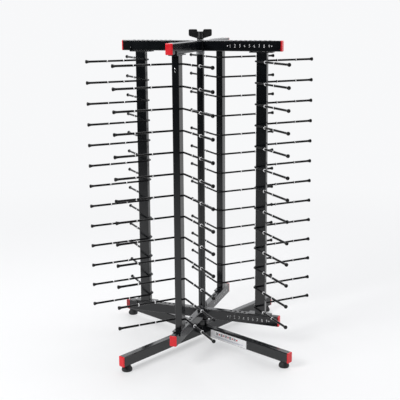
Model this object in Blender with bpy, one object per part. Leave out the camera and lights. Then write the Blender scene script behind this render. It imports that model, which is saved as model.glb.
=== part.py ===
"""A table-top plate stacking rack: four posts of V-shaped wires held between two crosses, on swivelling legs.

Metres, +Z up. The origin is on the floor under the centre post. The right-hand arm of the crosses points
along +X and the back arm along +Y. The legs are turned a little out of line with the crosses.
"""

import math

import bmesh
import bpy
from mathutils import Matrix, Vector

MM = 0.001
FIT_GAP = 0.3 * MM

# Rectangular tube of the crosses, legs and posts.
TUBE_WIDTH = 20 * MM
TUBE_HEIGHT = 30 * MM
TUBE_WALL = 1.5 * MM
CAP_LENGTH = 4 * MM
CAP_CHAMFER = 1 * MM
CAP_SPIGOT_LENGTH = 14 * MM

# Heights of the stack, from the floor up.
LEG_BASE_Z = 17 * MM
LOWER_CROSS_BASE_Z = 69 * MM
UPPER_CROSS_BASE_Z = 871 * MM
LOWER_CROSS_TOP_Z = LOWER_CROSS_BASE_Z + TUBE_HEIGHT
UPPER_CROSS_TOP_Z = UPPER_CROSS_BASE_Z + TUBE_HEIGHT

# Legs and feet.
LEG_HALF_LENGTH = 332 * MM
LEG_TURN = math.radians(-22.9)
FOOT_RADIUS_FROM_AXIS = 311 * MM
FOOT_WIDEST_RADIUS = 15 * MM
FOOT_NECK_RADIUS = 10.2 * MM
# Outline of a foot's bell from the floor up: share of its widest radius, and height.
FOOT_BELL = ((0.88, 0.0), (1.0, 3 * MM), (1.0, 5.5 * MM), (0.9, 9.5 * MM), (0.75, 13 * MM))
FOOT_RECESS_RADIUS = 5.6 * MM
FOOT_RECESS_HEIGHT = 6 * MM
FOOT_SCREW_RADIUS = 3 * MM
FOOT_SCREW_HEAD_RADIUS = 5 * MM
FOOT_SCREW_HEAD_BASE_Z = 2.5 * MM
FOOT_SCREW_HEAD_TOP_Z = 5.7 * MM
FOOT_SCREW_REACH = 9 * MM
LABEL_START = 44.5 * MM
LABEL_END = 182.7 * MM
LABEL_BASE_Z = 19 * MM
LABEL_HEIGHT = 24 * MM
LABEL_THICKNESS = 0.4 * MM

# Crosses and their index holes, numbered 1 to 9 outwards: one hole for each 20 mm of plate diameter.
CROSS_HALF_LENGTH = 242 * MM
HOLE_COUNT = 9
HOLE_PITCH = 20 * MM / math.sqrt(2)
REST_HOLE = 7
REST_HOLE_RADIUS_FROM_AXIS = 177.1 * MM
HOLE_RADIUS = 3.3 * MM

# Posts and their wires.
POST_INNER_R = 168.8 * MM
FLANGE_INNER_R = 148 * MM
FLANGE_OUTER_R = 216 * MM
FLANGE_THICKNESS = 3 * MM
FLANGE_HALF_WIDTH = 12.9 * MM
TAB_LENGTH = 6 * MM
TAB_THICKNESS = 2.5 * MM
TAB_DEPTH = 10 * MM
PEG_RADIUS = 2.8 * MM
PEG_HEAD_RADIUS = 4.5 * MM
PEG_HEAD_LENGTH = 6 * MM
PEG_REACH = 8 * MM
PEG_CHAMFER = 1 * MM

LEVEL_COUNT = 13
FIRST_LEVEL_Z = 124 * MM
LEVEL_PITCH = 60 * MM
WIRE_RADIUS = 2.45 * MM
WIRE_WEB_R = 166.6 * MM
WIRE_WEB_HALF_WIDTH = 10.2 * MM
WIRE_ARM_LENGTH = 182 * MM
WIRE_ARM_ANGLE = math.radians(45)
TIP_LENGTH = 8 * MM
TIP_RADIUS = 5.2 * MM
TIP_RIM_LENGTH = 2.4 * MM

# Centre post, hub and fasteners.
CENTRE_POST_RADIUS = 10.65 * MM
CENTRE_POST_WALL = 2 * MM
COLLAR_RADIUS = 12 * MM
COLLAR_HEIGHT = 9 * MM
COLLAR_SPIGOT_LENGTH = 20 * MM
HUB_RADIUS = 19 * MM
HUB_SPLIT_Z = 59 * MM
SPINDLE_PLATE_LENGTH = 58 * MM
SPINDLE_PLATE_WIDTH = 19 * MM
SPINDLE_PLATE_THICKNESS = 4 * MM
SPINDLE_BOSS_OVERLAP = 2 * MM
PIVOT_RADIUS = 6 * MM
PIVOT_TAIL_LENGTH = 10 * MM
PIVOT_HEAD_RADIUS = 8 * MM
PIVOT_HEAD_LIFT = 2 * MM
PIVOT_HEAD_HEIGHT = 7 * MM
CROSS_BOLT_R = 19.8 * MM
CROSS_BOLT_HEAD_RADIUS = 8 * MM
CROSS_BOLT_HEAD_HEIGHT = 13.5 * MM
CROSS_BOLT_SHANK_RADIUS = 4 * MM
# Outline of the domed head: share of its radius, and share of its height.
CROSS_BOLT_DOME = ((1.0, 0.0), (1.0, 0.5), (0.85, 0.78), (0.45, 0.97), (0.1, 1.0))

# Wing knob on the M10 stud that clamps the upper cross.
STUD_RADIUS = 5 * MM
STUD_ENGAGEMENT = 6 * MM
STUD_TOP_Z = 918 * MM
STUD_CHAMFER = 1 * MM
WASHER_RADIUS = 10 * MM
WASHER_THICKNESS = 1.5 * MM
KNOB_TOP_Z = 932 * MM
KNOB_HUB_RADIUS = 9.5 * MM
KNOB_HUB_TOP_RADIUS = 7.6 * MM
KNOB_HUB_SHOULDER_Z = 908 * MM
KNOB_HUB_TOP_Z = 925.8 * MM
KNOB_WING_SPAN = 66 * MM
KNOB_WING_OUTER_HEIGHT = 18.5 * MM
KNOB_WING_ROOT_Z = 906 * MM
KNOB_WING_ROOT_WIDTH = 17.1 * MM
KNOB_WING_THICKNESS = 7 * MM
KNOB_NOTCH_TOP_WIDTH = 19.6 * MM
KNOB_NOTCH_BASE_WIDTH = 14 * MM
KNOB_NOTCH_DEPTH = 7.2 * MM
KNOB_CORNER_RADIUS = 4 * MM
KNOB_NOTCH_LIP_RADIUS = 2.5 * MM
KNOB_INNER_CORNER_RADIUS = 1 * MM
KNOB_CORNER_STEPS = 4
KNOB_TURN = math.radians(20)

RUNNING_GAP = 0.4 * MM
CUT_MARGIN = 1 * MM

# Flats around each kind of round piece.
WIRE_SIDES = 6
PEG_SIDES = 8
SCREW_SIDES = 10
BOLT_SIDES = 12
FOOT_SIDES = 14
STUD_SIDES = 16
POST_SIDES = 20
SHARP_ANGLE = math.radians(35)

ARMS = {"right": 0, "back": 90, "left": 180, "front": 270}
LEGS = {"front_right": 0, "back_right": 90, "back_left": 180, "front_left": 270}

# Colour, roughness and metallic value of each finish.
FINISHES = {
    "black_powder_coat": ((0.018, 0.019, 0.021), 0.32, 0.0),
    "red_plastic": ((0.62, 0.012, 0.02), 0.38, 0.0),
    "black_rubber": ((0.015, 0.015, 0.016), 0.75, 0.0),
    "black_plastic": ((0.02, 0.02, 0.022), 0.42, 0.0),
    "grey_collar": ((0.3, 0.31, 0.32), 0.4, 0.0),
    "zinc_steel": ((0.6, 0.61, 0.62), 0.35, 1.0),
    "white_label": ((0.86, 0.86, 0.87), 0.5, 0.0),
}


# ---------------------------------------------------------------- shapes


def rectangle_ring(x, width, height, centre_z=0.0):
    """The corners of a rectangle across the X axis."""
    corners = ((1, 1), (-1, 1), (-1, -1), (1, -1))
    return [Vector((x, y * width / 2, centre_z + z * height / 2)) for y, z in corners]


def circle_ring(radius, z, sides, start=0.0):
    """A regular polygon around the Z axis."""
    angles = [start + 2 * math.pi * k / sides for k in range(sides)]
    return [Vector((radius * math.cos(a), radius * math.sin(a), z)) for a in angles]


def loft(rings, looped=False):
    """A closed skin through rings of equal count, capped at both ends or looped back to its first ring."""
    mesh = bmesh.new()
    rows = [[mesh.verts.new(point) for point in ring] for ring in rings]
    pairs = list(zip(rows, rows[1:]))
    if looped:
        pairs.append((rows[-1], rows[0]))
    else:
        mesh.faces.new(rows[0])
        mesh.faces.new(rows[-1])
    for first, second in pairs:
        for k in range(len(first)):
            after = (k + 1) % len(first)
            mesh.faces.new((first[k], first[after], second[after], second[k]))
    bmesh.ops.recalc_face_normals(mesh, faces=mesh.faces)
    return mesh


def box(low, high):
    """A plain block between two corners."""
    middle_y, middle_z = (low[1] + high[1]) / 2, (low[2] + high[2]) / 2
    width, height = high[1] - low[1], high[2] - low[2]
    rings = [rectangle_ring(x, width, height, middle_z) for x in (low[0], high[0])]
    mesh = loft(rings)
    bmesh.ops.translate(mesh, vec=(0, middle_y, 0), verts=mesh.verts)
    return mesh


def turned(profile, sides, looped=False):
    """A solid of revolution about Z through (radius, height) points; looped for one with a bore."""
    return loft([circle_ring(radius, z, sides) for radius, z in profile], looped)


def open_tube(start, end):
    """Rectangular tube along X, open at both ends."""
    inner_width = TUBE_WIDTH - 2 * TUBE_WALL
    inner_height = TUBE_HEIGHT - 2 * TUBE_WALL
    rings = [
        rectangle_ring(start, TUBE_WIDTH, TUBE_HEIGHT),
        rectangle_ring(end, TUBE_WIDTH, TUBE_HEIGHT),
        rectangle_ring(end, inner_width, inner_height),
        rectangle_ring(start, inner_width, inner_height),
    ]
    return loft(rings, looped=True)


def merged(meshes):
    """Several skins in one mesh, each still its own shell."""
    whole = meshes[0]
    for extra in meshes[1:]:
        copies = [whole.verts.new(vert.co) for vert in extra.verts]
        extra.verts.index_update()
        for face in extra.faces:
            whole.faces.new([copies[vert.index] for vert in face.verts])
        extra.free()
    return whole


def rods(centres, radius, low_z, high_z, sides):
    """Upright prisms for cutting rows of holes, one at each (x, y)."""
    meshes = []
    for x, y in centres:
        rod = turned([(radius, low_z), (radius, high_z)], sides)
        bmesh.ops.translate(rod, vec=(x, y, 0), verts=rod.verts)
        meshes.append(rod)
    return merged(meshes)


def rounded_outline(corners, radii, steps):
    """A 2-D outline with each corner replaced by an arc of its radius."""
    outline = []
    for k, corner in enumerate(corners):
        here = Vector(corner)
        before = (Vector(corners[k - 1]) - here).normalized()
        after = (Vector(corners[(k + 1) % len(corners)]) - here).normalized()
        half_angle = before.angle(after) / 2
        reach = radii[k] / math.tan(half_angle)
        centre = here + (before + after).normalized() * (radii[k] / math.sin(half_angle))
        first, last = here + before * reach - centre, here + after * reach - centre
        sweep = first.angle_signed(last)
        for step in range(steps + 1):
            turn = Matrix.Rotation(-sweep * step / steps, 2)
            outline.append(centre + turn @ first)
    return outline


# ---------------------------------------------------------------- objects


def finish(node, kind):
    """The node's own Principled material."""
    colour, roughness, metallic = FINISHES[kind]
    material = bpy.data.materials.new(f"{node}_{kind}")
    material.use_nodes = True
    shader = material.node_tree.nodes["Principled BSDF"]
    shader.inputs["Base Color"].default_value = (*colour, 1.0)
    shader.inputs["Roughness"].default_value = roughness
    shader.inputs["Metallic"].default_value = metallic
    material.diffuse_color = (*colour, 1.0)
    return material


def place(name, mesh, parent, location=(0, 0, 0), turn=0.0, kind=None, smooth=False):
    """An object made from a bmesh, hung on its parent empty."""
    data = bpy.data.meshes.new(name)
    mesh.to_mesh(data)
    mesh.free()
    if smooth:
        data.shade_smooth()
        data.set_sharp_from_angle(angle=SHARP_ANGLE)
    made = bpy.data.objects.new(name, data)
    bpy.context.scene.collection.objects.link(made)
    made.parent = parent
    made.location = location
    made.rotation_euler = (0, 0, turn)
    if kind:
        data.materials.append(finish(name, kind))
    return made


def joint_frame(name, parent, height):
    """An empty on the main axis, which a moving group hangs on."""
    frame = bpy.data.objects.new(name, None)
    bpy.context.scene.collection.objects.link(frame)
    frame.parent = parent
    frame.location = (0, 0, height)
    return frame


def apply_tool(target, mesh, operation):
    """A Boolean with a hidden helper that shares the target's frame."""
    helper = place(f"{target.name}_{operation.lower()}_tool", mesh, target)
    helper.hide_render = True
    helper.display_type = "WIRE"
    modifier = target.modifiers.new(operation.title(), "BOOLEAN")
    modifier.operation = operation
    modifier.object = helper
    modifier.solver = "EXACT"


# ---------------------------------------------------------------- tubes, caps and crosses


def end_cap(name, parent, half_length, height, turn):
    """A moulded plug: a chamfered end plate with a spigot inside the tube."""
    tube_end = half_length - CAP_LENGTH
    slack = 2 * (TUBE_WALL + FIT_GAP)
    spigot = (TUBE_WIDTH - slack, TUBE_HEIGHT - slack)
    plate = (TUBE_WIDTH, TUBE_HEIGHT)
    face = (TUBE_WIDTH - 2 * CAP_CHAMFER, TUBE_HEIGHT - 2 * CAP_CHAMFER)
    rings = [
        rectangle_ring(tube_end - CAP_SPIGOT_LENGTH, *spigot),
        rectangle_ring(tube_end + FIT_GAP, *spigot),
        rectangle_ring(tube_end + FIT_GAP, *plate),
        rectangle_ring(half_length - CAP_CHAMFER, *plate),
        rectangle_ring(half_length, *face),
    ]
    return place(name, loft(rings), parent, (0, 0, height), turn, "red_plastic")


def long_tube(name, parent, half_length, height, turn):
    """The tube that runs right across."""
    reach = half_length - CAP_LENGTH
    mesh = open_tube(-reach, reach)
    return place(name, mesh, parent, (0, 0, height), turn, "black_powder_coat")


def half_tube(name, parent, half_length, height, turn):
    """A tube that butts against the side of the long one."""
    mesh = open_tube(TUBE_WIDTH / 2 + FIT_GAP, half_length - CAP_LENGTH)
    return place(name, mesh, parent, (0, 0, height), turn, "black_powder_coat")


def index_hole_positions(both_ways):
    """Centres of the numbered holes along a tube."""
    first = REST_HOLE_RADIUS_FROM_AXIS - (REST_HOLE - 1) * HOLE_PITCH
    outward = [(first + k * HOLE_PITCH, 0.0) for k in range(HOLE_COUNT)]
    return outward + [(-x, 0.0) for x, _ in outward] if both_ways else outward


def cross(level, parent, height, walls):
    """Three tubes and four caps; walls gives the height span that its index holes are cut through."""
    low, high = walls
    arms = {}
    for tube in ("long", "back", "front"):
        both_ways = tube == "long"
        if both_ways:
            made = long_tube(f"{level}_cross_long", parent, CROSS_HALF_LENGTH, height, 0.0)
        else:
            turn = math.radians(ARMS[tube])
            made = half_tube(f"{level}_cross_{tube}", parent, CROSS_HALF_LENGTH, height, turn)
        holes = rods(index_hole_positions(both_ways), HOLE_RADIUS, low, high, PEG_SIDES)
        apply_tool(made, holes, "DIFFERENCE")
        arms[tube] = made
    for side, degrees in ARMS.items():
        turn = math.radians(degrees)
        end_cap(f"{level}_cap_{side}", parent, CROSS_HALF_LENGTH, height, turn)
    return arms


# ---------------------------------------------------------------- base


def foot(name, parent, x, y):
    """A bell-shaped rubber foot, recessed underneath for its screw."""
    top = LEG_BASE_Z - FIT_GAP
    screw_hole = FOOT_SCREW_RADIUS + RUNNING_GAP
    profile = [
        (FOOT_RECESS_RADIUS, 0.0),
        *((share * FOOT_WIDEST_RADIUS, z) for share, z in FOOT_BELL),
        (FOOT_NECK_RADIUS, top),
        (screw_hole, top),
        (screw_hole, FOOT_RECESS_HEIGHT),
        (FOOT_RECESS_RADIUS, FOOT_RECESS_HEIGHT),
    ]
    mesh = turned(profile, FOOT_SIDES, looped=True)
    return place(name, mesh, parent, (x, y, 0), 0.0, "black_rubber", smooth=True)


def foot_screw(name, parent, x, y):
    """The pan-head screw that holds a foot to its leg."""
    profile = [
        (FOOT_SCREW_HEAD_RADIUS, FOOT_SCREW_HEAD_BASE_Z),
        (FOOT_SCREW_HEAD_RADIUS, FOOT_SCREW_HEAD_TOP_Z),
        (FOOT_SCREW_RADIUS, FOOT_SCREW_HEAD_TOP_Z),
        (FOOT_SCREW_RADIUS, LEG_BASE_Z + FOOT_SCREW_REACH),
    ]
    return place(name, turned(profile, SCREW_SIDES), parent, (x, y, 0), 0.0, "zinc_steel", smooth=True)


def legs(base):
    """Three leg tubes in an X, four caps, four feet with their screws, and the label."""
    height = LEG_BASE_Z + TUBE_HEIGHT / 2
    half = TUBE_HEIGHT / 2
    screw_hole = FOOT_SCREW_RADIUS + RUNNING_GAP
    floor_cut = (-half - CUT_MARGIN, -half + TUBE_WALL + CUT_MARGIN)
    through = long_tube("leg_long", base, LEG_HALF_LENGTH, height, LEG_TURN)
    foot_spots = [(FOOT_RADIUS_FROM_AXIS, 0.0), (-FOOT_RADIUS_FROM_AXIS, 0.0)]
    apply_tool(through, rods(foot_spots, screw_hole, *floor_cut, SCREW_SIDES), "DIFFERENCE")
    roof_cut = (half - TUBE_WALL - CUT_MARGIN, half + CUT_MARGIN)
    pivot_hole = rods([(0.0, 0.0)], PIVOT_RADIUS + RUNNING_GAP, *roof_cut, STUD_SIDES)
    apply_tool(through, pivot_hole, "DIFFERENCE")
    for side, degrees in LEGS.items():
        turn = LEG_TURN + math.radians(degrees)
        if side in ("back_right", "front_left"):
            tube = half_tube(f"leg_{side}", base, LEG_HALF_LENGTH, height, turn)
            apply_tool(tube, rods(foot_spots[:1], screw_hole, *floor_cut, SCREW_SIDES), "DIFFERENCE")
        end_cap(f"leg_cap_{side}", base, LEG_HALF_LENGTH, height, turn)
        x, y = FOOT_RADIUS_FROM_AXIS * math.cos(turn), FOOT_RADIUS_FROM_AXIS * math.sin(turn)
        foot(f"foot_{side}", base, x, y)
        foot_screw(f"foot_screw_{side}", base, x, y)
    side_face = -TUBE_WIDTH / 2 - FIT_GAP
    low = (LABEL_START, side_face - LABEL_THICKNESS, LABEL_BASE_Z)
    high = (LABEL_END, side_face, LABEL_BASE_Z + LABEL_HEIGHT)
    place("label_plate", box(low, high), base, (0, 0, 0), LEG_TURN, "white_label")


def swivel(base, rack):
    """Housing on the legs, spindle under the lower cross, and the bolt that joins them."""
    bore = PIVOT_RADIUS + RUNNING_GAP
    housing = [
        (bore, LEG_BASE_Z + TUBE_HEIGHT + FIT_GAP),
        (HUB_RADIUS, LEG_BASE_Z + TUBE_HEIGHT + FIT_GAP),
        (HUB_RADIUS, HUB_SPLIT_Z),
        (bore, HUB_SPLIT_Z),
    ]
    barrel = turned(housing, POST_SIDES, looped=True)
    place("swivel_housing", barrel, base, kind="black_powder_coat", smooth=True)
    head_base = LOWER_CROSS_BASE_Z + PIVOT_HEAD_LIFT
    bolt = [
        (PIVOT_RADIUS, LEG_BASE_Z + TUBE_HEIGHT - PIVOT_TAIL_LENGTH),
        (PIVOT_RADIUS, head_base),
        (PIVOT_HEAD_RADIUS, head_base),
        (PIVOT_HEAD_RADIUS, head_base + PIVOT_HEAD_HEIGHT),
    ]
    place("pivot_bolt", turned(bolt, STUD_SIDES), base, kind="zinc_steel", smooth=True)

    drop = rack.location.z
    plate_top = LOWER_CROSS_BASE_Z - FIT_GAP - drop
    plate_base = plate_top - SPINDLE_PLATE_THICKNESS
    boss = [(HUB_RADIUS, HUB_SPLIT_Z + FIT_GAP - drop), (HUB_RADIUS, plate_base + SPINDLE_BOSS_OVERLAP)]
    spindle = place("swivel_spindle", turned(boss, POST_SIDES), rack, kind="black_powder_coat", smooth=True)
    reach, side = SPINDLE_PLATE_LENGTH / 2, SPINDLE_PLATE_WIDTH / 2
    plate = box((-side, -reach, plate_base), (side, reach, plate_top))
    apply_tool(spindle, plate, "UNION")
    span = (HUB_SPLIT_Z - CUT_MARGIN - drop, plate_top + CUT_MARGIN)
    apply_tool(spindle, rods([(0.0, 0.0)], bore, *span, STUD_SIDES), "DIFFERENCE")
    bolt_spots = [(0.0, CROSS_BOLT_R), (0.0, -CROSS_BOLT_R)]
    bolt_hole = CROSS_BOLT_SHANK_RADIUS + RUNNING_GAP
    apply_tool(spindle, rods(bolt_spots, bolt_hole, *span, BOLT_SIDES), "DIFFERENCE")


# ---------------------------------------------------------------- rack body


def centre_column(rack):
    """Round centre post with its threaded collar."""
    drop = rack.location.z
    radius, inner = CENTRE_POST_RADIUS, CENTRE_POST_RADIUS - CENTRE_POST_WALL
    collar_top = UPPER_CROSS_BASE_Z - FIT_GAP - drop
    collar_base = collar_top - COLLAR_HEIGHT
    low, high = LOWER_CROSS_TOP_Z + FIT_GAP - drop, collar_base - FIT_GAP
    post = [(radius, low), (radius, high), (inner, high), (inner, low)]
    tube = turned(post, POST_SIDES, looped=True)
    place("centre_post", tube, rack, kind="black_powder_coat", smooth=True)
    thread = STUD_RADIUS + RUNNING_GAP
    collar = [
        (thread, collar_base - COLLAR_SPIGOT_LENGTH),
        (inner - FIT_GAP, collar_base - COLLAR_SPIGOT_LENGTH),
        (inner - FIT_GAP, collar_base),
        (COLLAR_RADIUS, collar_base),
        (COLLAR_RADIUS, collar_top),
        (thread, collar_top),
    ]
    ring = turned(collar, POST_SIDES, looped=True)
    place("centre_post_collar", ring, rack, kind="grey_collar", smooth=True)


def cross_bolt(name, rack, y):
    """A domed bolt through a half arm into the spindle plate."""
    drop = rack.location.z
    seat = LOWER_CROSS_TOP_Z + FIT_GAP - drop
    foot_z = LOWER_CROSS_BASE_Z - SPINDLE_PLATE_THICKNESS - drop
    radius, rise = CROSS_BOLT_HEAD_RADIUS, CROSS_BOLT_HEAD_HEIGHT
    dome = [(across * radius, seat + up * rise) for across, up in CROSS_BOLT_DOME]
    profile = [(CROSS_BOLT_SHANK_RADIUS, foot_z), (CROSS_BOLT_SHANK_RADIUS, seat), *dome]
    place(name, turned(profile, BOLT_SIDES), rack, (0, y, 0), 0.0, "black_plastic", smooth=True)


def lower_rack(rack):
    """The swivelling lower cross with its centre post and bolts."""
    half = TUBE_HEIGHT / 2
    height = LOWER_CROSS_BASE_Z + half - rack.location.z
    top_wall = (half - TUBE_WALL - CUT_MARGIN, half + CUT_MARGIN)
    bottom_wall = (-half - CUT_MARGIN, -half + TUBE_WALL + CUT_MARGIN)
    arms = cross("lower", rack, height, top_wall)
    pivot_hole = rods([(0.0, 0.0)], PIVOT_RADIUS + RUNNING_GAP, *bottom_wall, STUD_SIDES)
    apply_tool(arms["long"], pivot_hole, "DIFFERENCE")
    through = (bottom_wall[0], top_wall[1])
    bolt_clearance = CROSS_BOLT_SHANK_RADIUS + RUNNING_GAP
    for side, sign in (("back", 1), ("front", -1)):
        bolt_hole = rods([(CROSS_BOLT_R, 0.0)], bolt_clearance, *through, BOLT_SIDES)
        apply_tool(arms[side], bolt_hole, "DIFFERENCE")
        cross_bolt(f"cross_bolt_{side}", rack, sign * CROSS_BOLT_R)
    centre_column(rack)


# ---------------------------------------------------------------- posts


def wire_ring(point, direction, radius, stretch=1.0):
    """A hexagon across a level wire, stretched sideways where it is mitred at a bend."""
    sideways = Vector((direction.y, -direction.x, 0))
    ring = []
    for k in range(WIRE_SIDES):
        angle = 2 * math.pi * k / WIRE_SIDES
        across = sideways * (radius * math.cos(angle) * stretch)
        ring.append(point + across + Vector((0, 0, radius * math.sin(angle))))
    return ring


def v_wire(z):
    """One level: a short web on the post, two arms spreading outwards, and their flared tips."""
    arm = Vector((math.cos(WIRE_ARM_ANGLE), math.sin(WIRE_ARM_ANGLE), 0))
    bend = Vector((WIRE_WEB_R, WIRE_WEB_HALF_WIDTH, z))
    mitre_direction = (arm + Vector((0, 1, 0))).normalized()
    mitre_stretch = 1 / mitre_direction.dot(arm)
    half = [
        wire_ring(bend, mitre_direction, WIRE_RADIUS, mitre_stretch),
        wire_ring(bend + arm * (WIRE_ARM_LENGTH - TIP_LENGTH), arm, WIRE_RADIUS),
        wire_ring(bend + arm * (WIRE_ARM_LENGTH - TIP_RIM_LENGTH), arm, TIP_RADIUS),
        wire_ring(bend + arm * WIRE_ARM_LENGTH, arm, TIP_RADIUS),
    ]
    mirrored = [[Vector((p.x, -p.y, p.z)) for p in ring] for ring in half]
    return loft(mirrored[::-1] + half)


def post(side, frame, turn):
    """One post: the tube with its V-shaped wires welded on."""
    low = LOWER_CROSS_TOP_Z + 2 * FIT_GAP + FLANGE_THICKNESS
    high = UPPER_CROSS_BASE_Z - 2 * FIT_GAP - FLANGE_THICKNESS
    mesh = open_tube(low, high)
    bmesh.ops.rotate(mesh, matrix=Matrix.Rotation(-math.pi / 2, 3, "Y"), verts=mesh.verts)
    middle = POST_INNER_R + TUBE_HEIGHT / 2
    bmesh.ops.translate(mesh, vec=(middle, 0, 0), verts=mesh.verts)
    drop = Vector((0, 0, -frame.matrix_world.translation.z))
    bmesh.ops.translate(mesh, vec=drop, verts=mesh.verts)
    made = place(f"post_{side}", mesh, frame, (0, 0, 0), turn, "black_powder_coat")
    wires = merged([v_wire(FIRST_LEVEL_Z + k * LEVEL_PITCH) for k in range(LEVEL_COUNT)])
    bmesh.ops.translate(wires, vec=drop, verts=wires.verts)
    apply_tool(made, wires, "UNION")


def flange(name, frame, face_z, outward, turn):
    """A plate on the post's end, with two tabs straddling the arm; outward is +1 above the post."""
    back_z = face_z - outward * FLANGE_THICKNESS
    tip_z = face_z + outward * TAB_DEPTH
    low, high = sorted((back_z, face_z))
    plate = box((FLANGE_INNER_R, -FLANGE_HALF_WIDTH, low), (FLANGE_OUTER_R, FLANGE_HALF_WIDTH, high))
    made = place(name, plate, frame, (0, 0, 0), turn, "black_powder_coat")
    tab_low, tab_high = sorted((back_z + outward * FLANGE_THICKNESS / 2, tip_z))
    inner_edge = FLANGE_HALF_WIDTH - TAB_THICKNESS
    outer_tab = box(
        (FLANGE_OUTER_R - TAB_LENGTH, inner_edge, tab_low), (FLANGE_OUTER_R, FLANGE_HALF_WIDTH, tab_high)
    )
    inner_tab = box(
        (FLANGE_INNER_R, -FLANGE_HALF_WIDTH, tab_low), (FLANGE_INNER_R + TAB_LENGTH, -inner_edge, tab_high)
    )
    apply_tool(made, merged([outer_tab, inner_tab]), "UNION")
    span = (low - CUT_MARGIN, high + CUT_MARGIN)
    peg_spot = (REST_HOLE_RADIUS_FROM_AXIS, 0.0)
    peg_hole = rods([peg_spot], PEG_RADIUS + RUNNING_GAP, *span, PEG_SIDES)
    apply_tool(made, peg_hole, "DIFFERENCE")


def index_peg(name, frame, face_z, outward, turn):
    """The sprung peg that drops from the flange into one numbered hole."""
    seat = face_z - outward * (FLANGE_THICKNESS + FIT_GAP)
    profile = [
        (PEG_HEAD_RADIUS, seat - outward * PEG_HEAD_LENGTH),
        (PEG_HEAD_RADIUS, seat),
        (PEG_RADIUS, seat),
        (PEG_RADIUS, face_z + outward * (PEG_REACH - PEG_CHAMFER)),
        (PEG_RADIUS - PEG_CHAMFER, face_z + outward * PEG_REACH),
    ]
    mesh = turned(profile, PEG_SIDES)
    bmesh.ops.translate(mesh, vec=(REST_HOLE_RADIUS_FROM_AXIS, 0, 0), verts=mesh.verts)
    place(name, mesh, frame, (0, 0, 0), turn, "zinc_steel", smooth=True)


def posts(rack):
    """Four posts, each on its own frame that slides along its arm."""
    for side, degrees in ARMS.items():
        turn = math.radians(degrees)
        frame = joint_frame(f"post_{side}_frame", rack, 0.0)
        bpy.context.view_layer.update()
        drop = frame.matrix_world.translation.z
        post(side, frame, turn)
        for level, face_z, outward in (
            ("lower", LOWER_CROSS_TOP_Z + FIT_GAP - drop, -1),
            ("upper", UPPER_CROSS_BASE_Z - FIT_GAP - drop, 1),
        ):
            flange(f"post_{side}_{level}_flange", frame, face_z, outward, turn)
            index_peg(f"post_{side}_{level}_peg", frame, face_z, outward, turn)


# ---------------------------------------------------------------- upper cross and knob


def upper_rack(frame):
    """The lift-off upper cross, with index holes right through it."""
    half = TUBE_HEIGHT / 2
    through = (-half - CUT_MARGIN, half + CUT_MARGIN)
    height = UPPER_CROSS_BASE_Z + half - frame.matrix_world.translation.z
    arms = cross("upper", frame, height, through)
    stud_hole = rods([(0.0, 0.0)], STUD_RADIUS + RUNNING_GAP, *through, STUD_SIDES)
    apply_tool(arms["long"], stud_hole, "DIFFERENCE")


def wing_outline():
    """Outline of the wings: rounded corners and a notch in the middle of the top."""
    span, mouth, floor, foot_half = (
        width / 2
        for width in (KNOB_WING_SPAN, KNOB_NOTCH_TOP_WIDTH, KNOB_NOTCH_BASE_WIDTH, KNOB_WING_ROOT_WIDTH)
    )
    top, notch_z = KNOB_TOP_Z, KNOB_TOP_Z - KNOB_NOTCH_DEPTH
    base, root = KNOB_TOP_Z - KNOB_WING_OUTER_HEIGHT, KNOB_WING_ROOT_Z
    right_half = [
        (foot_half, root, KNOB_INNER_CORNER_RADIUS),
        (span, base, KNOB_CORNER_RADIUS),
        (span, top, KNOB_CORNER_RADIUS),
        (mouth, top, KNOB_NOTCH_LIP_RADIUS),
        (floor, notch_z, KNOB_INNER_CORNER_RADIUS),
    ]
    corners = right_half + [(-x, z, radius) for x, z, radius in reversed(right_half)]
    points, radii = [(x, z) for x, z, _ in corners], [radius for *_, radius in corners]
    return rounded_outline(points, radii, KNOB_CORNER_STEPS)


def knob(carrier, spinner):
    """Captive washer, wing knob and its stud."""
    seat = UPPER_CROSS_TOP_Z + FIT_GAP
    carrier_drop, spinner_drop = (frame.matrix_world.translation.z for frame in (carrier, spinner))
    bore = STUD_RADIUS + RUNNING_GAP
    low, high = seat - carrier_drop, seat + WASHER_THICKNESS - carrier_drop
    washer = [(bore, low), (WASHER_RADIUS, low), (WASHER_RADIUS, high), (bore, high)]
    disc = turned(washer, POST_SIDES, looped=True)
    place("knob_washer", disc, carrier, kind="zinc_steel", smooth=True)

    hub_base = seat + WASHER_THICKNESS + FIT_GAP - spinner_drop
    hub = [
        (KNOB_HUB_RADIUS, hub_base),
        (KNOB_HUB_RADIUS, KNOB_HUB_SHOULDER_Z - spinner_drop),
        (KNOB_HUB_TOP_RADIUS, KNOB_HUB_TOP_Z - spinner_drop),
    ]
    barrel = turned(hub, STUD_SIDES)
    made = place("wing_knob", barrel, spinner, turn=KNOB_TURN, kind="black_plastic", smooth=True)
    rings = []
    for y in (-KNOB_WING_THICKNESS / 2, KNOB_WING_THICKNESS / 2):
        rings.append([Vector((p.x, y, p.y - spinner_drop)) for p in wing_outline()])
    apply_tool(made, loft(rings), "UNION")
    span = (hub_base - CUT_MARGIN, STUD_TOP_Z + FIT_GAP - spinner_drop)
    apply_tool(made, rods([(0.0, 0.0)], bore, *span, STUD_SIDES), "DIFFERENCE")

    stud_base = UPPER_CROSS_BASE_Z - FIT_GAP - STUD_ENGAGEMENT - spinner_drop
    stud = [
        (STUD_RADIUS - STUD_CHAMFER, stud_base),
        (STUD_RADIUS, stud_base + STUD_CHAMFER),
        (STUD_RADIUS, STUD_TOP_Z - spinner_drop),
    ]
    place("knob_stud", turned(stud, STUD_SIDES), spinner, kind="zinc_steel", smooth=True)


# ---------------------------------------------------------------- assembly


def clear_scene():
    """Start from an empty scene."""
    for leftover in list(bpy.data.objects):
        bpy.data.objects.remove(leftover, do_unlink=True)


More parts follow.
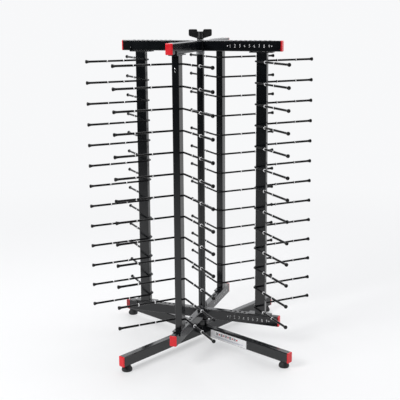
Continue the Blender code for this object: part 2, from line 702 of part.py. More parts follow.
def build():
    """The whole rack, on one empty for each moving group."""
    clear_scene()
    base = joint_frame("base_frame", None, 0.0)
    rack = joint_frame("rack_swivel_frame", base, HUB_SPLIT_Z)
    top = joint_frame("top_cross_frame", rack, UPPER_CROSS_BASE_Z - HUB_SPLIT_Z)
    carrier = joint_frame("knob_rise_frame", top, TUBE_HEIGHT)
    spinner = joint_frame("knob_turn_frame", carrier, 0.0)
    bpy.context.view_layer.update()
    legs(base)
    swivel(base, rack)
    lower_rack(rack)
    posts(rack)
    upper_rack(top)
    knob(carrier, spinner)


build()
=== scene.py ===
"""Looks of the plate stacking rack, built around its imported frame.

Metres, +Z up, origin on the floor under the centre post. Every arm is drawn pointing along +X and then
turned about the Z axis to its side of the rack.
"""

import math

import bmesh
import bpy
from mathutils import Matrix, Vector


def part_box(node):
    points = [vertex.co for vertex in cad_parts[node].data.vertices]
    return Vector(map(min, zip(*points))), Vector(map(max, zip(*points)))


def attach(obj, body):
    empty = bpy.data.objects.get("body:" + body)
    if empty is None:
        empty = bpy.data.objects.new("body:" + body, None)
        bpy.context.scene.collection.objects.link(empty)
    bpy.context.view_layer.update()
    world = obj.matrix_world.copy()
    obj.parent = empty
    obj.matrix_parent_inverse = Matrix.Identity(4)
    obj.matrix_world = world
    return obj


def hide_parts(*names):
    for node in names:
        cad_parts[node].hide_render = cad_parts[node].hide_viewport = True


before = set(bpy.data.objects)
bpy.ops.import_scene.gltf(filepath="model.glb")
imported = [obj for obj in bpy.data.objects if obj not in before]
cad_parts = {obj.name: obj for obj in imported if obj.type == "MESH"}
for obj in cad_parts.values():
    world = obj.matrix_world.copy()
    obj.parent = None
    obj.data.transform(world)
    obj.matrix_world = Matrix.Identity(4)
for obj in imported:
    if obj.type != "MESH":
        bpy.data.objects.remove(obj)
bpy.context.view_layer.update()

MM = 0.001
QUARTER = math.pi / 2
ARMS = {"right": 0.0, "back": QUARTER, "left": 2 * QUARTER, "front": 3 * QUARTER}
LEG_TURN = math.radians(-22.9)
LEGS = {
    "front_right": LEG_TURN, "back_right": LEG_TURN + QUARTER,
    "back_left": LEG_TURN + 2 * QUARTER, "front_left": LEG_TURN + 3 * QUARTER,
}

# Heights and lengths read from the frame.
LOWER_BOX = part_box("lower_cross_long")
UPPER_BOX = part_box("upper_cross_long")
CROSSES = (("lower", "rack", LOWER_BOX), ("upper", "top_cross", UPPER_BOX))
LABEL_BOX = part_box("label_plate")
TUBE_WIDTH = LOWER_BOX[1].y - LOWER_BOX[0].y
TUBE_HEIGHT = LOWER_BOX[1].z - LOWER_BOX[0].z
CROSS_REACH = LOWER_BOX[1].x
CAP_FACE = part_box("lower_cap_right")[1].x
LEG_BASE_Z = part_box("leg_long")[0].z
LEG_TOP_Z = LEG_BASE_Z + TUBE_HEIGHT

# Lengths along a leg, and the gap left between parts that touch.
LEG_REACH = 328 * MM
LEG_FACE = LEG_REACH + CAP_FACE - CROSS_REACH
FOOT_DISTANCE = 311 * MM
FIT_GAP = 0.3 * MM

# Rectangular tube of the crosses, the legs and the posts.
TUBE_WALL = 1.5 * MM
TUBE_CORNER = 2.4 * MM
TUBE_EDGE = 0.3 * MM

# Cuts: how far a rod goes past the face or into the wall that it cuts, and what counts as a sliver.
CUT_PAST = 2 * MM
CUT_INTO = 4 * MM
SLIVER_WIDTH = 0.003 * MM

# Radii of the bores, and the place of the two bolts beside the centre post.
PIVOT_BORE = 6.4 * MM
STUD_BORE = 5.4 * MM
BOLT_BORE = 4.4 * MM
SCREW_BORE = 3.4 * MM
PEG_BORE = 3.2 * MM
BORE_SIDES = 24
BOLT_PLACE = 19.8 * MM

# Numbered holes in the arms, and the lip around each.
HOLE_PITCH = 20 * MM / math.sqrt(2)
HOLE_COUNT = 9
REST_HOLE_R = 177.1 * MM
FIRST_HOLE_R = REST_HOLE_R - 6 * HOLE_PITCH
LAST_HOLE_R = FIRST_HOLE_R + (HOLE_COUNT - 1) * HOLE_PITCH
HOLE_RADIUS = 3.3 * MM
HOLE_SIDES = 20
RIM_RADIUS = 4.5 * MM
RIM_HEIGHT = 0.45 * MM
RIM_SINK = 0.5 * MM
RIM_STEP = 0.05 * MM

# Printed hole numbers and the dots at their ends.
GLYPH_HEIGHT = 9.2 * MM
GLYPH_NARROWING = 0.66
GLYPH_RELIEF = 0.1 * MM
FONT_SIZE = 1.4 * GLYPH_HEIGHT
DOT_RADIUS = 1.6 * MM
DOT_SIDES = 16
DOT_BEFORE = 7.4 * MM
DOT_AFTER = 6.9 * MM
DOT_RELIEF = 0.15 * MM
GLYPH_STANDOFF = 0.05 * MM

# Welds: a bead's radius, its ripples, and how it thins towards its ends.
CORNER_WELD_RADIUS = 1.3 * MM
WELD_STEP = 0.5 * MM
WELD_LEAST_STEPS = 6
WELD_RIPPLE = 2.2 * MM
WELD_RIPPLE_SHARE = 0.09
WELD_END_SHARE = 0.45
WELD_END_SLOPE = 14
WELD_SIDES = 8

# Weld round the foot of a post: its size, and its section in shares of that, out from the wall and up.
FLANGE_WELD = 1.5 * MM
FILLET_SECTION = ((-0.4, 0), (1, 0), (0.62, 0.3), (0.3, 0.62), (0, 1), (-0.4, 1))

# Rubber feet: (radius, height) in millimetres, from the bore round the foot to its top edge.
FOOT_PROFILE = (
    (5.6, 0.2), (6.2, 0.0), (12.8, 0.0), (14.1, 0.6), (14.8, 1.8), (15.0, 3.6), (14.9, 5.6),
    (14.3, 7.8), (13.2, 9.8), (12.0, 11.6), (11.0, 13.2), (10.4, 14.8),
)
FOOT_TOP_RADIUS = 10.2 * MM
FOOT_TOP_EDGE = 0.4 * MM
FOOT_RECESS_RADIUS = 5.6 * MM
FOOT_RECESS_HEIGHT = 6.0 * MM
FOOT_SIDES = 36

# Label plate: its ends along the leg, and its graphic of plates, dots and rules.
LABEL_START = 44.5 * MM
LABEL_END = 182.7 * MM
LABEL_CORNER = 2 * MM
FILM_DEPTH = 0.4 * MM
INK_DEPTH = 0.08 * MM
MARK_COUNT = 5
FIRST_MARK = 26 * MM
MARK_PITCH = 17 * MM
MARK_RISE = 4.2 * MM
PLATE_LENGTH = 8.5 * MM
PLATE_THICKNESS = 1.7 * MM
PLATE_CORNER = 0.8 * MM
PLATE_PITCH = 2.9 * MM
MARK_DOT_RADIUS = 2.6 * MM
RULE_SHARES = (0.82, 0.64)
RULE_THICKNESS = 0.8 * MM
RULE_CORNER = 0.35 * MM
RULE_DROP = 4.6 * MM
RULE_PITCH = 2.6 * MM

# Hub, centre post with its collar, and the domed bolts.
HUB_RADIUS = 19 * MM
HUB_LIP = 0.8 * MM
HUB_PLATE_SIZE = (19 * MM, 58 * MM)
HUB_PLATE_CORNER = 4 * MM
HUB_PLATE_THICKNESS = 4 * MM
HUB_SIDES = 48
CENTRE_RADIUS = 10.65 * MM
CENTRE_INNER_RADIUS = 8.65 * MM
CENTRE_EDGE = 0.4 * MM
CENTRE_WELD = ((-0.2, 0), (1.9, 0), (1.6, 1.0), (0.5, 2.2), (-0.2, 2.6))
COLLAR_RADIUS = 12 * MM
COLLAR_RIM_RADIUS = 11.5 * MM
COLLAR_EDGE = 0.6 * MM
COLLAR_SPIGOT_RADIUS = 8.35 * MM
COLLAR_SPIGOT_LENGTH = 20 * MM
BOLT_SHANK_RADIUS = 4 * MM
BOLT_HEAD_RADIUS = 8 * MM
BOLT_EDGE = 0.6 * MM
BOLT_WALL_SHARE = 0.42
BOLT_TAIL = 4 * MM
BOLT_TIP_RADIUS = 0.3 * MM
BOLT_SIDES = 32
DOME_STEPS = 8

# Posts and their end plates, each with two tabs that straddle the arm.
POST_INNER_R = REST_HOLE_R - 8.3 * MM
POST_MIDDLE_R = POST_INNER_R + TUBE_HEIGHT / 2
FLANGE_INNER_R = 148 * MM
FLANGE_OUTER_R = 216 * MM
FLANGE_HALF_WIDTH = 12.9 * MM
FLANGE_THICKNESS = 3 * MM
FLANGE_CORNER = 2.5 * MM
FLANGE_EDGE = 0.4 * MM
TAB_LENGTH = 6 * MM
TAB_THICKNESS = 2.5 * MM
TAB_CORNER = 0.7 * MM
TAB_ROWS = ((-1.5, 0), (8.2, 0), (9.4, 0.5), (10, 1.6))
RIVET_DROPS = (46 * MM, 38 * MM)
RIVET_PROFILE = ((2.1, -0.4), (2.1, 0.1), (1.7, 0.6), (0.7, 0.9))
RIVET_SIDES = 16

# Wires.
LEVEL_COUNT = 13
FIRST_LEVEL_Z = LOWER_BOX[0].z + 55 * MM
LEVEL_PITCH = 60 * MM
WIRE_RADIUS = 2.8 * MM
WIRE_SIDES = 12
WEB_R = 166.6 * MM
WEB_HALF_WIDTH = 10.2 * MM
ARM_LENGTH = 182 * MM
ARM_ANGLE = math.pi / 4
ARM_DIRECTION = Vector((math.cos(ARM_ANGLE), math.sin(ARM_ANGLE), 0))
BEND_RADIUS = 9 * MM
BEND_STEPS = 6
WIRE_STOP = 5 * MM
RING_RADIUS = 4.4 * MM
RING_LENGTH = 2.6 * MM
RING_SHOULDER = 1.1 * MM
RING_STEPS = 4
RING_SIDES = 18
SLEEVE_RADIUS = 2.95 * MM
SLEEVE_EDGE = 0.5 * MM
SLEEVE_SIDES = 14
GRIP_RADIUS = 3.2 * MM
BELL_RADIUS = 5.4 * MM
BELL_LENGTH = 13 * MM
BELL_RIM = 3 * MM
BELL_STEPS = 6
BELL_LIP = ((1.6, 0), (0.5, 0.35), (0, 1.2), (0.5, 1.9), (1.8, 3.8))
BEAD_LENGTH = 7 * MM
BEAD_OUT = 1.4 * MM
BEAD_RISE = 2.3 * MM
BEAD_WIDTH = 1.9 * MM
BEAD_HEIGHT = 1.6 * MM
BEAD_END_SHARE = 0.35
BEAD_STEPS = 6
BEAD_SIDES = 10

# Distance in millimetres from the bend to the two rings, for each post and side of it.
RING_SPOTS = {
    ("right", -1): (56, 106),
    ("right", 1): (63, 125),
    ("back", -1): (66, 117),
    ("back", 1): (66, 117),
    ("left", -1): (66, 117),
    ("left", 1): (69, 118),
    ("front", -1): (73, 122),
    ("front", 1): (61, 108),
}

# Knob: heights down from its top, and half widths of its wings' outline.
KNOB_TURN = math.radians(20)
KNOB_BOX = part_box("wing_knob")
KNOB_TOP = KNOB_BOX[1].z
KNOB_NOTCH_Z = KNOB_TOP - 7.2 * MM
KNOB_CROWN_Z = KNOB_NOTCH_Z + 0.8 * MM
KNOB_WING_BASE_Z = KNOB_TOP - 18.5 * MM
KNOB_ROOT_Z = KNOB_TOP - 26 * MM
KNOB_SHOULDER_Z = KNOB_TOP - 24 * MM
KNOB_BORE_TOP_Z = KNOB_TOP - 13.7 * MM
KNOB_SPAN = 33 * MM
KNOB_NOTCH_MOUTH = 9.8 * MM
KNOB_NOTCH_FLOOR = 7 * MM
KNOB_ROOT_WIDTH = 8.6 * MM
KNOB_HUB_RADIUS = 9.5 * MM
KNOB_CROWN_RADIUS = 7.6 * MM
KNOB_TIP_RADIUS = 0.4 * MM
KNOB_HUB_ROUNDING = 1.2 * MM
KNOB_CORNER_STEPS = 5
KNOB_SIDES = 40

# One half of the wings' section: distance from the middle plane and inset of the outline, in millimetres.
KNOB_SECTION = ((-3.1, 2.1), (-3.5, 1.3), (-3.3, 0.4), (-2.6, 0.0))

# Section of the washer under the knob: radius and height in millimetres.
WASHER_SECTION = ((5.4, 0.0), (9.7, 0.0), (10, 0.3), (10, 1.2), (9.7, 1.5), (5.4, 1.5))

# Shading: edges sharper than these angles, in degrees, stay crisp.
CRISP_ANGLE = 35
WELD_CRISP_ANGLE = 60
RUBBER_CRISP_ANGLE = 50
KNOB_CRISP_ANGLE = 45
BOLT_CRISP_ANGLE = 40
FLAT_SHADING = "Flat faces stay flat"

# Range of a noise texture's values that the materials use.
NOISE_LOW = 0.3
NOISE_HIGH = 0.7

# Studio: colour of the backdrop, how the floor fades into it, and how bright the walls are.
BACKDROP = (0.935, 0.94, 0.95)
WALL_COLOR = (0.97, 0.98, 1.0)
FLOOR_COLOR = (0.9, 0.9, 0.905)
FLOOR_ROUGHNESS = 0.6
FLOOR_SHEEN = 0.2
FLOOR_RADIUS = 30
FLOOR_FADE_START = 0.5
FLOOR_FADE_END = 2.4
FLOOR_LEAST_FADE = 0.5
BRIGHT_SIDE = Vector((0.21, 0.98, 0.0)).normalized()
BRIGHT_SIDE_SOFTNESS = 0.62
BRIGHT_FLOOR = 0.85
NEAR_FLOOR_GLOW = 0.95
FLOOR_GLOW_END = 4.0
BRIGHT_WALL = 1.5
DARK_WALL = 0.03

# Camera, a metre above the floor, in front of the rack and a little to its right.
CAMERA_PLACE = Vector((0.799, -2.225, 0.981))
CAMERA_TARGET = Vector((-0.0034, -0.0013, 0.5062))
CAMERA_ROLL = math.radians(-0.42)
CAMERA_LENS = 73.7
CAMERA_SHIFT_Y = -0.06


# ---------------------------------------------------------------- mesh helpers


def loft(rings, looped=False):
    """A closed skin through rings of equal count, capped at both ends or looped back to its first ring."""
    mesh = bmesh.new()
    rows = [[mesh.verts.new(point) for point in ring] for ring in rings]
    pairs = list(zip(rows, rows[1:]))
    if looped:
        pairs.append((rows[-1], rows[0]))
    else:
        mesh.faces.new(rows[0])
        mesh.faces.new(rows[-1])
    for first, second in pairs:
        for k in range(len(first)):
            after = (k + 1) % len(first)
            mesh.faces.new((first[k], first[after], second[after], second[k]))
    bmesh.ops.recalc_face_normals(mesh, faces=mesh.faces)
    return mesh


def rounded_rectangle(width, height, radius, steps=4):
    """Corner points of a rounded rectangle about the origin, counter-clockwise."""
    points = []
    centres = ((1, 1, 0), (-1, 1, 90), (-1, -1, 180), (1, -1, 270))
    for x_sign, y_sign, start in centres:
        centre = Vector((x_sign * (width / 2 - radius), y_sign * (height / 2 - radius)))
        for step in range(steps + 1):
            angle = math.radians(start + 90 * step / steps)
            points.append(centre + radius * Vector((math.cos(angle), math.sin(angle))))
    return points


def circle(radius, sides):
    """Points of a circle about the origin."""
    angles = [2 * math.pi * k / sides for k in range(sides)]
    return [Vector((radius * math.cos(a), radius * math.sin(a))) for a in angles]


def turned(profile, sides=32, looped=False):
    """A solid of revolution about Z through (radius, height) points; looped for one with a bore."""
    rings = [[Vector((p.x, p.y, z)) for p in circle(radius, sides)] for radius, z in profile]
    return loft(rings, looped)


def bored_cylinder(bore, radius, low, high, edge):
    """A round wall about Z with its outer edges taken off."""
    rim = radius - edge
    lower = [(bore, low), (rim, low), (radius, low + edge)]
    upper = [(radius, high - edge), (rim, high), (bore, high)]
    return turned(lower + upper, HUB_SIDES, looped=True)


def rounded_profile(points, radius, steps=3):
    """A turned piece's profile with every corner rounded off but its two ends."""
    result = [points[0]]
    for before, here, after in zip(points, points[1:], points[2:]):
        a, b, c = Vector(before), Vector(here), Vector(after)
        reach = min(radius, 0.45 * (a - b).length, 0.45 * (c - b).length)
        start = b + (a - b).normalized() * reach
        end = b + (c - b).normalized() * reach
        for step in range(steps + 1):
            t = step / steps
            result.append(tuple(start.lerp(b, t).lerp(b.lerp(end, t), t)))
    result.append(points[-1])
    return result


def rings_along(stations, sides):
    """Rings of points around a level line, one for each (point, tangent, radius) station."""
    rings = []
    for point, tangent, radius in stations:
        sideways = Vector((tangent.y, -tangent.x, 0)).normalized()
        rings.append([point + sideways * p.x + Vector((0, 0, p.y)) for p in circle(radius, sides)])
    return rings


def merge(meshes):
    """Several skins in one mesh, each still its own shell."""
    whole = meshes[0]
    for extra in meshes[1:]:
        copies = [whole.verts.new(vert.co) for vert in extra.verts]
        extra.verts.index_update()
        for face in extra.faces:
            whole.faces.new([copies[vert.index] for vert in face.verts])
        extra.free()
    return whole


def shifted(mesh, offset):
    """The same mesh, moved."""
    bmesh.ops.translate(mesh, vec=Vector(offset), verts=mesh.verts)
    return mesh


def copied(mesh, offset):
    """A moved copy of a mesh."""
    return shifted(mesh.copy(), offset)


def rotated(mesh, angle, axis="Z"):
    """The same mesh, turned about an axis through the origin."""
    bmesh.ops.rotate(mesh, cent=(0, 0, 0), matrix=Matrix.Rotation(angle, 3, axis), verts=mesh.verts)
    return mesh


def placed(name, data):
    """An object with this data, in the scene."""
    made = bpy.data.objects.new(name, data)
    bpy.context.scene.collection.objects.link(made)
    return made


def placed_mesh(name, mesh):
    """An object made from a mesh, which is used up."""
    data = bpy.data.meshes.new(name)
    mesh.to_mesh(data)
    mesh.free()
    return placed(name, data)


def piece(name, mesh, body, look, nodes=(), angle=0.0, crisp=CRISP_ANGLE):
    """A finished visible piece that rides with its body and stands for the given nodes."""
    material, slot = look
    rotated(mesh, angle)
    bmesh.ops.recalc_face_normals(mesh, faces=mesh.faces)
    made = placed_mesh(name, mesh)
    made.data.materials.append(material)
    made.data.shade_smooth()
    made.data.set_sharp_from_angle(angle=math.radians(crisp))
    flat = made.modifiers.new(FLAT_SHADING, "WEIGHTED_NORMAL")
    flat.keep_sharp = True
    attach(made, body)
    if nodes:
        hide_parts(*nodes)
    return made


def carve(target, mesh):
    """Cuts a mesh out of a piece and keeps the result as the piece's own mesh."""
    tool = placed_mesh("carving_tool", mesh)
    cut = target.modifiers.new("Carve", "BOOLEAN")
    cut.operation = "DIFFERENCE"
    cut.solver = "EXACT"
    cut.object = tool
    target.modifiers.move(len(target.modifiers) - 1, 0)
    target.modifiers[FLAT_SHADING].show_viewport = False
    bpy.context.view_layer.update()
    graph = bpy.context.evaluated_depsgraph_get()
    result = bpy.data.meshes.new_from_object(target.evaluated_get(graph))
    target.modifiers.remove(cut)
    target.modifiers[FLAT_SHADING].show_viewport = True
    whole = bmesh.new()
    whole.from_mesh(result)
    bmesh.ops.dissolve_degenerate(whole, dist=SLIVER_WIDTH, edges=whole.edges)
    whole.to_mesh(result)
    whole.free()
    target.data = result
    bpy.data.objects.remove(tool)
    result.set_sharp_from_angle(angle=math.radians(CRISP_ANGLE))


# ---------------------------------------------------------------- materials


def with_inputs(node, **constants):
    """The same node, with constants on the inputs that they name."""
    for socket, value in constants.items():
        node.inputs[socket.replace("_", " ")].default_value = value
    return node


class Finish:
    """A node material with a Principled shader, and short calls that let a noise texture vary it."""

    def __init__(self, name, **sockets):
        self.material = bpy.data.materials.new(name)
        self.material.use_nodes = True
        self.nodes = self.material.node_tree.nodes
        self.links = self.material.node_tree.links
        self.shader = with_inputs(self.nodes["Principled BSDF"], **sockets)
        self.coordinates = self.nodes.new("ShaderNodeTexCoord")

    def noise(self, scale, detail, stretch=(1, 1, 1)):
        """A noise texture in the piece's own space."""
        mapping = with_inputs(self.nodes.new("ShaderNodeMapping"), Scale=stretch)
        self.links.new(self.coordinates.outputs["Object"], mapping.inputs["Vector"])
        texture = with_inputs(self.nodes.new("ShaderNodeTexNoise"), Scale=scale, Detail=detail)
        self.links.new(mapping.outputs["Vector"], texture.inputs["Vector"])
        return texture.outputs["Fac"]

    def tint(self, scale, detail, low, high):
        """Noise moves the colour between two shades."""
        ramp = self.nodes.new("ShaderNodeValToRGB")
        ramp.color_ramp.elements[0].position = NOISE_LOW
        ramp.color_ramp.elements[0].color = (*low, 1)
        ramp.color_ramp.elements[1].position = NOISE_HIGH
        ramp.color_ramp.elements[1].color = (*high, 1)
        self.links.new(self.noise(scale, detail), ramp.inputs["Fac"])
        self.links.new(ramp.outputs["Color"], self.shader.inputs["Base Color"])

    def roughen(self, scale, detail, low, high):
        """Noise moves the roughness between two limits."""
        limits = {"From_Min": NOISE_LOW, "From_Max": NOISE_HIGH, "To_Min": low, "To_Max": high}
        spread = with_inputs(self.nodes.new("ShaderNodeMapRange"), **limits)
        self.links.new(self.noise(scale, detail), spread.inputs["Value"])
        self.links.new(spread.outputs["Result"], self.shader.inputs["Roughness"])

    def bump(self, scale, detail, depth, stretch=(1, 1, 1)):
        """Noise of this depth is added to the surface relief, on top of any relief already there."""
        relief = with_inputs(self.nodes.new("ShaderNodeBump"), Distance=depth)
        self.links.new(self.noise(scale, detail, stretch), relief.inputs["Height"])
        for link in list(self.shader.inputs["Normal"].links):
            self.links.new(link.from_socket, relief.inputs["Normal"])
        self.links.new(relief.outputs["Normal"], self.shader.inputs["Normal"])


def powder_coat():
    """Smooth semi-gloss black powder coat with a fine orange peel."""
    finish = Finish("black_powder_coat", Specular_IOR_Level=0.62)
    finish.tint(9, 4, (0.0022, 0.0029, 0.004), (0.0044, 0.0055, 0.0071))
    finish.roughen(35, 5, 0.15, 0.21)
    finish.bump(420, 2, 0.007 * MM)
    finish.bump(60, 2, 0.02 * MM)
    return finish.material


def dipped_wire():
    """Smooth black coating on the round wires."""
    finish = Finish("black_wire_coating", Specular_IOR_Level=0.12)
    finish.tint(25, 3, (0.003, 0.003, 0.004), (0.006, 0.006, 0.007))
    finish.roughen(80, 4, 0.18, 0.3)
    finish.bump(500, 2, 0.02 * MM)
    return finish.material


def wire_rubber():
    """Satin black rubber of the sleeves and flared tips."""
    finish = Finish("black_wire_rubber", Specular_IOR_Level=0.3)
    finish.tint(60, 4, (0.005, 0.005, 0.0055), (0.009, 0.009, 0.0095))
    finish.roughen(120, 4, 0.14, 0.26)
    finish.bump(900, 3, 0.015 * MM)
    return finish.material


def ring_silicone():
    """Milky white silicone of the stop rings."""
    finish = Finish("white_silicone")
    finish.tint(90, 3, (0.92, 0.92, 0.93), (0.97, 0.97, 0.975))
    finish.roughen(200, 3, 0.24, 0.38)
    finish.bump(700, 2, 0.02 * MM)
    return finish.material


def red_plastic():
    """Moulded red plastic with a fine spark-eroded texture."""
    finish = Finish("red_plastic", Specular_IOR_Level=0.5)
    finish.tint(30, 4, (0.74, 0.008, 0.017), (0.86, 0.013, 0.025))
    finish.roughen(90, 4, 0.3, 0.44)
    finish.bump(1100, 3, 0.035 * MM)
    return finish.material


def foot_rubber():
    """Matt black rubber with a faint grain and dust."""
    finish = Finish("black_rubber")
    finish.tint(70, 5, (0.01, 0.01, 0.011), (0.022, 0.022, 0.023))
    finish.roughen(150, 5, 0.52, 0.74)
    finish.bump(650, 4, 0.06 * MM)
    return finish.material


def knob_plastic():
    """Glass-filled black plastic of the wing knob and the domed bolts."""
    finish = Finish("black_plastic")
    finish.tint(50, 5, (0.008, 0.008, 0.009), (0.016, 0.016, 0.017))
    finish.roughen(130, 4, 0.34, 0.5)
    finish.bump(900, 4, 0.05 * MM)
    return finish.material


def collar_plastic():
    """Light grey collar at the top of the centre post."""
    finish = Finish("grey_collar")
    finish.tint(40, 4, (0.3, 0.31, 0.32), (0.38, 0.39, 0.4))
    finish.roughen(110, 3, 0.32, 0.46)
    finish.bump(800, 3, 0.03 * MM)
    return finish.material


def zinc_steel():
    """Bright zinc plating with faint turning marks."""
    finish = Finish("zinc_steel", Metallic=1.0)
    finish.tint(60, 5, (0.52, 0.54, 0.55), (0.68, 0.68, 0.68))
    finish.roughen(90, 5, 0.2, 0.42)
    finish.bump(500, 2, 0.03 * MM, stretch=(0.2, 0.2, 4))
    return finish.material


def ink(name, color):
    """Flat printing ink, a little uneven."""
    finish = Finish(name)
    finish.tint(150, 4, tuple(0.92 * c for c in color), color)
    finish.roughen(260, 3, 0.38, 0.55)
    finish.bump(1200, 2, 0.01 * MM)
    return finish.material


# Each look is a material and the slot of the frame's material that it stands for.
POWDER = (powder_coat(), "black_powder_coat")
WIRE = (dipped_wire(), "black_powder_coat")
SLEEVE = (wire_rubber(), "black_rubber")
SILICONE = (ring_silicone(), "white_label")
RED = (red_plastic(), "red_plastic")
RUBBER = (foot_rubber(), "black_rubber")
PLASTIC = (knob_plastic(), "black_plastic")
COLLAR = (collar_plastic(), "grey_collar")
ZINC = (zinc_steel(), "zinc_steel")
WHITE_INK = (ink("white_ink", (0.86, 0.86, 0.87)), "white_label")
LABEL_FILM = (ink("label_film", (0.97, 0.97, 0.985)), "white_label")
DARK_INK = (ink("dark_ink", (0.035, 0.04, 0.055)), "white_label")
RED_INK = (ink("red_ink", (0.62, 0.03, 0.05)), "white_label")
BLUE_INK = (ink("blue_ink", (0.18, 0.24, 0.38)), "white_label")


def plated(node):
    """Gives a piece of the frame that stays in view its zinc plating."""
    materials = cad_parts[node].data.materials
    materials.clear()
    materials.append(ZINC[0])


# ---------------------------------------------------------------- tubes and caps


def tube(start, end, centre_z=0.0):
    """Rectangular tube along X with rounded corners, open at both ends."""
    outer = rounded_rectangle(TUBE_WIDTH, TUBE_HEIGHT, TUBE_CORNER)
    inner_corner = TUBE_CORNER - 0.5 * TUBE_WALL
    inner = rounded_rectangle(TUBE_WIDTH - 2 * TUBE_WALL, TUBE_HEIGHT - 2 * TUBE_WALL, inner_corner)
    trimmed_corner = TUBE_CORNER - TUBE_EDGE
    trimmed = rounded_rectangle(TUBE_WIDTH - 2 * TUBE_EDGE, TUBE_HEIGHT - 2 * TUBE_EDGE, trimmed_corner)
    rows = (
        (start, trimmed), (start + TUBE_EDGE, outer), (end - TUBE_EDGE, outer),
        (end, trimmed), (end, inner), (start, inner),
    )
    rings = [[Vector((x, p.x, p.y + centre_z)) for p in outline] for x, outline in rows]
    return loft(rings, looped=True)


def hole_radii(both_ways):
    """Distances of the numbered holes from the middle of the rack."""
    outward = [FIRST_HOLE_R + k * HOLE_PITCH for k in range(HOLE_COUNT)]
    return outward + [-r for r in outward] if both_ways else outward


def drill(target, places, low, high, radius=HOLE_RADIUS, sides=HOLE_SIDES, angle=0.0):
    """Upright holes in a piece, at these distances along an arm that is turned by the angle."""
    rods = [shifted(turned([(radius, low), (radius, high)], sides), (x, 0, 0)) for x in places]
    carve(target, rotated(merge(rods), angle))


def hole_rims(places, top):
    """The raised lip that the punch leaves around each hole."""
    profile = [
        (HOLE_RADIUS, top - RIM_SINK), (RIM_RADIUS, top - RIM_SINK), (RIM_RADIUS, top + RIM_STEP),
        (0.5 * (HOLE_RADIUS + RIM_RADIUS), top + RIM_HEIGHT), (HOLE_RADIUS, top + 0.6 * RIM_HEIGHT),
    ]
    return merge([shifted(turned(profile, HOLE_SIDES, looped=True), (x, 0, 0)) for x in places])


def cap(face, tube_end):
    """A moulded end plug, domed a little and rounded at its edges, on a tapered spigot."""
    rows = [
        # place along the tube, inset from the tube's outline, corner radius
        (tube_end - 14 * MM, 3.9 * MM, 1.2 * MM),
        (tube_end - 13 * MM, 3.6 * MM, 1.4 * MM),
        (tube_end + FIT_GAP, 3.6 * MM, 1.4 * MM),
        (tube_end + FIT_GAP, 0.25 * MM, TUBE_CORNER),
        (tube_end + 0.6 * MM, 0.0, TUBE_CORNER),
        (face - 1.5 * MM, 0.0, TUBE_CORNER),
        (face - 0.75 * MM, 0.35 * MM, TUBE_CORNER),
        (face - 0.25 * MM, 1.0 * MM, TUBE_CORNER),
        (face - 0.06 * MM, 2.2 * MM, 2.0 * MM),
        (face, 4.5 * MM, 1.6 * MM),
    ]
    rings = []
    for x, inset, corner in rows:
        outline = rounded_rectangle(TUBE_WIDTH - 2 * inset, TUBE_HEIGHT - 2 * inset, corner)
        rings.append([Vector((x, p.x, p.y)) for p in outline])
    return loft(rings)


def rippled_bead(start, end, radius):
    """A run of weld from start to end, with the ripples that each dab leaves."""
    direction = (Vector(end) - Vector(start)).normalized()
    length = (Vector(end) - Vector(start)).length
    first = direction.orthogonal().normalized()
    second = direction.cross(first)
    count = max(WELD_LEAST_STEPS, round(length / WELD_STEP))
    rings = []
    for step in range(count + 1):
        share = step / count
        taper = min(1.0, WELD_END_SHARE + WELD_END_SLOPE * min(share, 1 - share))
        ripple = 1 + WELD_RIPPLE_SHARE * math.sin(2 * math.pi * share * length / WELD_RIPPLE)
        swell = radius * taper * ripple
        centre = Vector(start).lerp(Vector(end), share)
        rings.append([centre + first * p.x + second * p.y for p in circle(swell, WELD_SIDES)])
    return loft(rings)


def corner_welds(low, high):
    """Welds in the corners where the two half tubes butt against the through tube."""
    side = TUBE_WIDTH / 2
    edge = side - TUBE_CORNER
    seam_z = low + TUBE_EDGE
    beads = []
    for x in (-side, side):
        for y in (-side, side):
            ends = (x, y, low + TUBE_CORNER), (x, y, high - TUBE_CORNER)
            beads.append(rippled_bead(*ends, CORNER_WELD_RADIUS))
    for y in (-side, side):
        beads.append(rippled_bead((-edge, y, seam_z), (edge, y, seam_z), CORNER_WELD_RADIUS))
    return merge(beads)


def fillet_ring(outline, base_z, upward, size):
    """A weld all round the foot of a post; outline is its plan, and upward is the side the weld is on."""
    rings = []
    count = len(outline)
    for k, point in enumerate(outline):
        tangent = (outline[(k + 1) % count] - outline[k - 1]).normalized()
        normal = Vector((tangent.y, -tangent.x))
        section = []
        for out, up in FILLET_SECTION:
            spot = point + normal * (out * size)
            section.append(Vector((spot.x, spot.y, base_z + upward * up * size)))
        rings.append(section)
    return loft(rings, looped=True)


def cross_arm(level, tube_name, body, base_z):
    """One tube of a cross with its numbered holes, their raised rims and any other bore."""
    both_ways = tube_name == "long"
    start = -CROSS_REACH if both_ways else TUBE_WIDTH / 2 + FIT_GAP
    angle = 0.0 if both_ways else ARMS[tube_name]
    middle_z, top = base_z + TUBE_HEIGHT / 2, base_z + TUBE_HEIGHT
    made = piece(f"{level}_arm_{tube_name}", tube(start, CROSS_REACH, middle_z), body, POWDER,
                 [f"{level}_cross_{tube_name}"], angle)
    bottom, through = base_z - CUT_PAST, top + CUT_PAST
    radii = hole_radii(both_ways)
    drill(made, radii, bottom if level == "upper" else middle_z, through, angle=angle)
    piece(f"{level}_hole_rims_{tube_name}", hole_rims(radii, top), body, POWDER, angle=angle)
    bores = {
        ("lower", "long"): (0.0, PIVOT_BORE, base_z + CUT_INTO),
        ("lower", "back"): (BOLT_PLACE, BOLT_BORE, through),
        ("lower", "front"): (BOLT_PLACE, BOLT_BORE, through),
        ("upper", "long"): (0.0, STUD_BORE, through),
    }
    if (level, tube_name) in bores:
        place, radius, end = bores[level, tube_name]
        drill(made, [place], bottom, end, radius, BORE_SIDES, angle)


